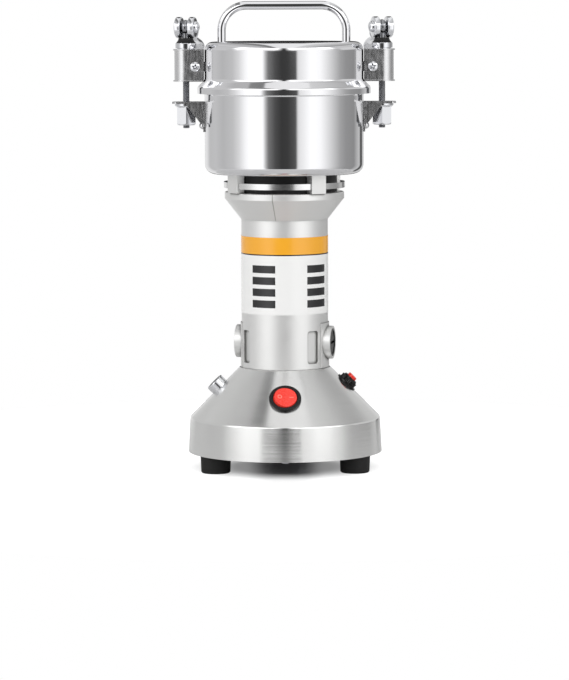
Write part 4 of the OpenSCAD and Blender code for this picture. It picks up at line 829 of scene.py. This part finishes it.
lid = piece("lid_shell", [spun(sheet(lid_path, SHEET_T), FACETS), lug(-1), lug(1)],
            FINISH["buffed_stainless"], "lid", ["lid"])

# %% [markdown]
# The base cover is one cone of 1 mm sheet with a skirt that leans out a little. Its flat top has an
# opening for the motor's wires. The switch, the reset button and the cord gland sit square to the cone.

# %% Base cover
base_low, base_top = level("base_cover", 0), level("base_cover")
COVER_T, SKIRT_H, FOOT_R, BEND_R, LAND_R, WIRE_R = 1.0, 24.6, 69.9, 68.6, 32.5, 17.0
corner_z = base_low + SKIRT_H
cover_path = rounded([[FOOT_R, base_low], [BEND_R, corner_z], [LAND_R, base_top], [WIRE_R, base_top]],
                     [2.5, 0.8], 12)
cover = piece("base_shell", [spun(sheet(cover_path, COVER_T), FACETS)], FINISH["spun_stainless"], "root",
              ["base_cover"])
lean = math.degrees(math.atan2(base_top - corner_z, BEND_R - LAND_R))


def cone_r(z):
    """Radius of the cone at a height."""
    return LAND_R + (base_top - z) * (BEND_R - LAND_R) / (base_top - corner_z)


def on_cone(angle, z):
    """A place on the cone whose Z points straight out of it; angle 0 is the front, 90 the right."""
    return spin(angle, "Z") @ shift(0, -cone_r(z), z) @ spin(lean, "X")


# %% [markdown]
# The holes of a real cover are punched after it is spun. Here a Boolean takes one short cylinder for each
# hole out of the cone, which keeps the hole's edge sharp where the curved sheet meets it.

# %% Holes in the base cover
SWITCH_Z, BREAKER_Z, GLAND_Z = 55.1, 61.5, 58.5
HOLES = ((0, SWITCH_Z, 10.0), (90, BREAKER_Z, 5.1), (-90, GLAND_Z, 5.6))


def drill(radius):
    """A cylinder 12 mm long, hollow by a hair on its axis, so that its skin closes on itself."""
    return spun(np.array([[0.001, -6], [radius, -6], [radius, 6], [0.001, 6]]), 64)


drills = [turned(drill(radius), on_cone(angle, z)) for angle, z, radius in HOLES]
cut(cover, piece("drills", drills, FINISH["zinc_plate"], "root"))
cover.data.shade_smooth()
cover.data.set_sharp_from_angle(angle=math.radians(30))

# %% [markdown]
# The handle is a 6 mm rod, bent twice and polished. A circle carried along a line and two arcs is the
# same shape, so half of its path is drawn, and the other half is that half mirrored.

# %% Handle
ROD_R, LEG_X, TURN_R = 3.0, 44.7, 17.8
handle_foot, handle_top = level("lid_handle", 0), level("lid_handle") - ROD_R
bend = arc([LEG_X - TURN_R, handle_top - TURN_R], TURN_R, 0, 90, 20)
leg = [[LEG_X, handle_foot + up] for up in (0, 0.01, 15)]
half = outline(leg, bend, [10, handle_top])
rod = np.concatenate([half, (half * [-1, 1])[::-1]])
rod = np.stack([rod[:, 0], 0 * rod[:, 0], rod[:, 1]], 1)
grip = piece("handle_rod", [swept(rod, ROD_R, 32)], FINISH["polished_rod"], "lid", ["lid_handle"])

# %% [markdown]
# ## Clamps
# Each clamp is a cam lever on an eye bolt. Swung down, its two round lobes press on a nylon seat and pull
# the bolt up. The lobes and the lever are one zinc casting, polished and chromed, so their edges are soft
# and every one of them carries a thin highlight.

# %% Clamp places
CLAMP_R = (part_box("clamp_nut_right")[0].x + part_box("clamp_nut_right")[1].x) / 2 / MM
PIN_Z = (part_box("lever_pins")[0].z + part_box("lever_pins")[1].z) / 2 / MM
# In degrees: how far a lever is turned away from the front, and how far it dips.
YAW, DIP = 15, 25
LOBE_R, LOBE_IN, LOBE_T, EYE_T, EYE_R, PIN_R = 7.5, 2.75, 4.3, 5.0, 5.15, 2.0


def at_pin(side):
    """A lever's own frame: X along its pin and outwards, Y along the lever."""
    return on_side(side) @ shift(CLAMP_R, 0, PIN_Z) @ spin(YAW, "Z")


def disc(radius, height, edge, hole=0.0, steps=64):
    """A round disc from z = 0 up, its outer rims rounded by edge and a hole's top rim by up to 0.4."""
    loop = [[hole, 0], [radius, 0], [radius, height], [hole, height]]
    if hole == 0:
        return spun(rounded(loop, [edge, edge], 5), steps)
    return spun(rounded(loop + loop[:1], [edge, edge, min(edge, 0.4)], 5)[:-1], steps)


def bar(sections, power, steps=32):
    """A bar along Y from rows of (x, y, z, half width, half height): its section is a superellipse with
    |u| ** power + |v| ** power = 1."""
    x, y, z, w, h = (np.array(sections, float)[:, i, None] for i in range(5))
    t = np.linspace(0, 2 * math.pi, steps, endpoint=False)
    u, v = (np.sign(f) * np.abs(f) ** (2 / power) for f in (np.cos(t), np.sin(t)))
    return lofted(np.stack([x + w * u, y + 0 * u * w, z + h * v], -1))


print("clamps:", round(CLAMP_R, 2), "mm from the axis, with their pins", round(PIN_Z, 2), "mm up")

# %% [markdown]
# A lever is built as its pattern maker would build it, from simple bodies that run into each other: two
# lobes with soft rims, two tapering cheeks and one blade. Its lobes sit 0.3 mm off the pin, which is what
# pulls the bolt up.

# %% Cam levers
LEVER_L, LEVER_T, TIP_R, SAG, WEB, CAM_OFFSET = 39.0, 3.6, 4.4, 1.3, 6.35, 0.3
LOBE_OUT = LOBE_IN + LOBE_T


def lever_blade():
    """The blade: an S from the side, z = -SAG sin(2 pi t). From above it narrows between 2 and 10 mm from
    the web, by 3 n^2 - 2 n^3, and ends in a half circle."""
    tip = LEVER_L - TIP_R + TIP_R * np.sin(np.linspace(0, 1, 12) * math.pi / 2)
    y = np.concatenate([np.linspace(WEB, LEVER_L - TIP_R, 24), tip[1:]])
    t = (y - WEB) / (LEVER_L - WEB)
    narrow = np.clip((y - WEB - 2) / 8, 0, 1)
    narrow = narrow * narrow * (3 - 2 * narrow)
    wide = LOBE_OUT + (TIP_R + 0.1 - LOBE_OUT) * narrow
    round_end = np.sqrt(np.clip(1 - ((y - LEVER_L + TIP_R) / TIP_R).clip(0) ** 2, 0.003, 1))
    thick = LEVER_T / 2 * (0.55 + 0.45 * np.sqrt(round_end))
    return bar(np.stack([0 * y, y, -SAG * np.sin(2 * math.pi * t), wide * round_end, thick], 1), 3.2)


def cam_lever(side):
    """Two lobes, the cheeks that join them to the blade, and the blade, turned down by DIP. A cheek is
    3.2 mm half high at 1 mm from the pin and 1.8 at 9."""
    lobe = turned(disc(LOBE_R, LOBE_T, 0.9), shift(0, 0, LOBE_IN))
    ahead, down = CAM_OFFSET * math.sin(math.radians(DIP)), CAM_OFFSET * math.cos(math.radians(DIP))
    parts = [lever_blade()]
    for across in (-1, 1):
        parts.append(turned(lobe, shift(0, ahead, -down) @ on_side(across) @ spin(90, "Y")))
        middle = across * (LOBE_IN + LOBE_T / 2)
        parts.append(bar([[middle, y, 0, LOBE_T / 2, 1.8 + 1.6 * (1 - y / 9)] for y in (1, 3, 5, 7, 9)], 4))
    return [turned(part, at_pin(side) @ spin(-DIP, "X")) for part in parts]


for name, side in (("left", -1), ("right", 1)):
    made = piece(f"lever_{name}_casting", cam_lever(side), FINISH["chrome_plate"], f"lever_{name}",
                 [f"cam_lever_{name}"], 50)

# %% [markdown]
# The bolt's thread is a coarse M5 one, rolled. On the real bolt it is a V section wound round the shank,
# so its radius at a height z and an angle t depends only on z / pitch - t / 360.

# %% Eye bolts
THREAD_R, THREAD_DEPTH, PITCH, CHAMFER = 2.5, 0.49, 0.8, 0.6
# Over 1, the groove is narrower than a pitch, and a flat crest is left between its turns.
STEEPNESS = 1.15


def threaded(low, high, thread_end, steps=48):
    """A rod whose radius is THREAD_R less a V groove of THREAD_DEPTH from its foot to the thread's end,
    where the groove runs out over one pitch. The foot has a 45 degree chamfer."""
    turns = np.arange(low + CHAMFER, thread_end + PITCH, PITCH / 10)
    z = np.concatenate([[low, low + 0.2, low + 0.45], turns, [high]])[:, None]
    t = np.linspace(0, 2 * math.pi, steps, endpoint=False)
    turn = (z / PITCH - t / (2 * math.pi)) % 1
    groove = THREAD_DEPTH * (1 - np.abs(2 * turn - 1) * STEEPNESS).clip(0)
    run = ((z - low) / PITCH).clip(0, 1) * ((thread_end - z) / PITCH).clip(0, 1)
    r = np.minimum(THREAD_R - groove * run, THREAD_R - CHAMFER + (z - low))
    return lofted(np.stack([r * np.cos(t), r * np.sin(t), z + 0 * t], -1))


bolt_foot, thread_end, shank_end = level("eye_bolts", 0), level("clamp_box_right", 0) + 9, PIN_Z - 4
eye = disc(EYE_R, EYE_T, 2.4, hole=PIN_R + 0.1)
bolts = []
for side in (-1, 1):
    shank = threaded(bolt_foot, shank_end, thread_end)
    bolts.append(turned(shank, on_side(side) @ shift(CLAMP_R, 0, 0)))
    bolts.append(turned(eye, at_pin(side) @ spin(90, "Y") @ shift(0, 0, -EYE_T / 2)))
# The bolts take the darker zinc, whose colour carries painted shade for the thread and the gaps beside the
# lobes.
made = piece("bolts", bolts, FINISH["shade_darkened_zinc"], "lid", ["eye_bolts"], 60)

# %% [markdown]
# The pins are rivets with a domed head on the outer side. Each clamp box hangs on a screw with a cross
# recess, which is drawn into the dome as a height at every point, with walls that slope.

# %% Pins and screws


def domed(radius, height, seat, foot, shank):
    """A rivet or screw from z = foot up: its shank, and a dome of that radius and height on the seat."""
    dome = arc([0, 0], 1, 0, 90, 11)[:-1] * [radius, height] + [0, seat]
    corners = [[0.0, foot], [shank, foot], [shank, seat], [radius, seat]]
    return spun(outline(corners, dome, [0.0, seat + height]), 48)


def cross_head(radius, height, slot_w, slot_l, depth, rings=26, steps=120):
    """A domed head with a cross recess. Its height at (x, y) is the dome height * sqrt(1 - 0.8 r^2 / R^2),
    less the recess, whose walls slope in from the edges of both slots over 0.35 mm."""
    q = np.linspace(0, 1, rings)[1:, None]
    t = np.linspace(0, 2 * math.pi, steps, endpoint=False)
    x, y = radius * q * np.cos(t), radius * q * np.sin(t)
    top = height * np.sqrt(1 - 0.8 * q ** 2) + 0 * t

    def slot(a, b):
        """How far within a slot a point is: 0 at its edges and 1 from 0.35 mm inside."""
        return np.minimum(slot_w / 2 - abs(a), slot_l / 2 - abs(b)) / 0.35

    within = np.maximum(slot(x, y), slot(y, x)).clip(0, 1)
    top = top - depth * within * (1 - 0.35 * q / (slot_l / 2 / radius)).clip(0.3)
    grid = np.stack([x, y, top], -1)
    rim = grid[-1] * [1, 1, 0]
    hub = np.repeat([[[0, 0, height - depth]]], steps, 1)
    under = np.repeat([[[0, 0, 0.0]]], steps, 1)
    return skin(np.concatenate([hub, grid, rim[None], under]))


PIN_HEAD_R, PIN_HEAD_H = 4.2, 3.0
pin = domed(PIN_HEAD_R, PIN_HEAD_H, LOBE_OUT + 0.1, -LOBE_OUT - 0.3, PIN_R)
pins = [turned(pin, at_pin(side) @ spin(-90, "Y")) for side in (-1, 1)]
made = piece("rivet_pins", pins, FINISH["chrome_plate"], "lid", ["lever_pins"], 40)

# The boxes' plates stand out in front of their walls by a lip. The heads sit on the wall behind it.
LIP, SHANK_R, TURNED_BY = 0.9, 1.95, 20
box_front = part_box("clamp_box_right")[0].y / MM + LIP
screw_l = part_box("clamp_screws")[1].y / MM - box_front
head = cross_head(HEAD_R, height=2.2, slot_w=1.15, slot_l=4.2, depth=1.7)
shank = disc(SHANK_R, screw_l + 0.1, 0.3, steps=48)
screws = []
for side in (-1, 1):
    place = on_side(side) @ shift(PIVOT[0], box_front, PIVOT[1]) @ spin(90, "X") @ spin(TURNED_BY, "Z")
    screws += [turned(head, place), turned(shank, place @ spin(180, "X") @ shift(0, 0, -0.1))]
made = piece("cross_screws", screws, FINISH["chrome_plate"], "lid", ["clamp_screws"], 35)

# %% [markdown]
# ## Marks on the switch
# The rocker carries a ring and a bar for off and on, moulded a little proud of its face and rubbed with a
# paler ink. Each stands on its own half of the face, which leans towards the middle.

# %% Rocker marks
ROCKER_LEAN, MIDDLE_H, SIDE_H, ROCKER_R, MARK_X = 7, 2.3, 3.4, 8.6, 4.2
face_slope = math.degrees(math.atan2(SIDE_H - MIDDLE_H, ROCKER_R))


def on_face(side, x):
    """A place on the left (-1) or right (1) half of the rocker's face, x mm from its middle line."""
    high = MIDDLE_H + x * math.tan(math.radians(face_slope))
    rocker = on_cone(0, SWITCH_Z) @ spin(ROCKER_LEAN, "Y")
    return rocker @ shift(side * x, 0, high) @ spin(-side * face_slope, "Y")


MARK_R, MARK_T = 1.35, 0.26
ring = spun(arc([MARK_R, 0], MARK_T, 0, 360, 12)[:-1], 40)
BAR_ENDS = ((-1.5, 0.3), (-1.35, 0.8), (-1.1, 1), (1.1, 1), (1.35, 0.8), (1.5, 0.3))
line = turned(bar([[0, y, 0, MARK_T * w, MARK_T * w] for y, w in BAR_ENDS], 2, 16), spin(90, "Z"))
marks = piece("rocker_marks", [turned(ring, on_face(-1, MARK_X)), turned(line, on_face(1, MARK_X))],
              moulded("mark_ink", "#FF9A8C", 0.3, 0.4), "rocker")

# %% [markdown]
# The boxes of the CAD model and of the dressed mill, printed side by side.

# %% Finish
made_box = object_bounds()
for name, box in (("CAD", cad_box), ("visual", made_box)):
    print(name, "box in mm:", [[round(c / MM, 1) for c in corner] for corner in box])
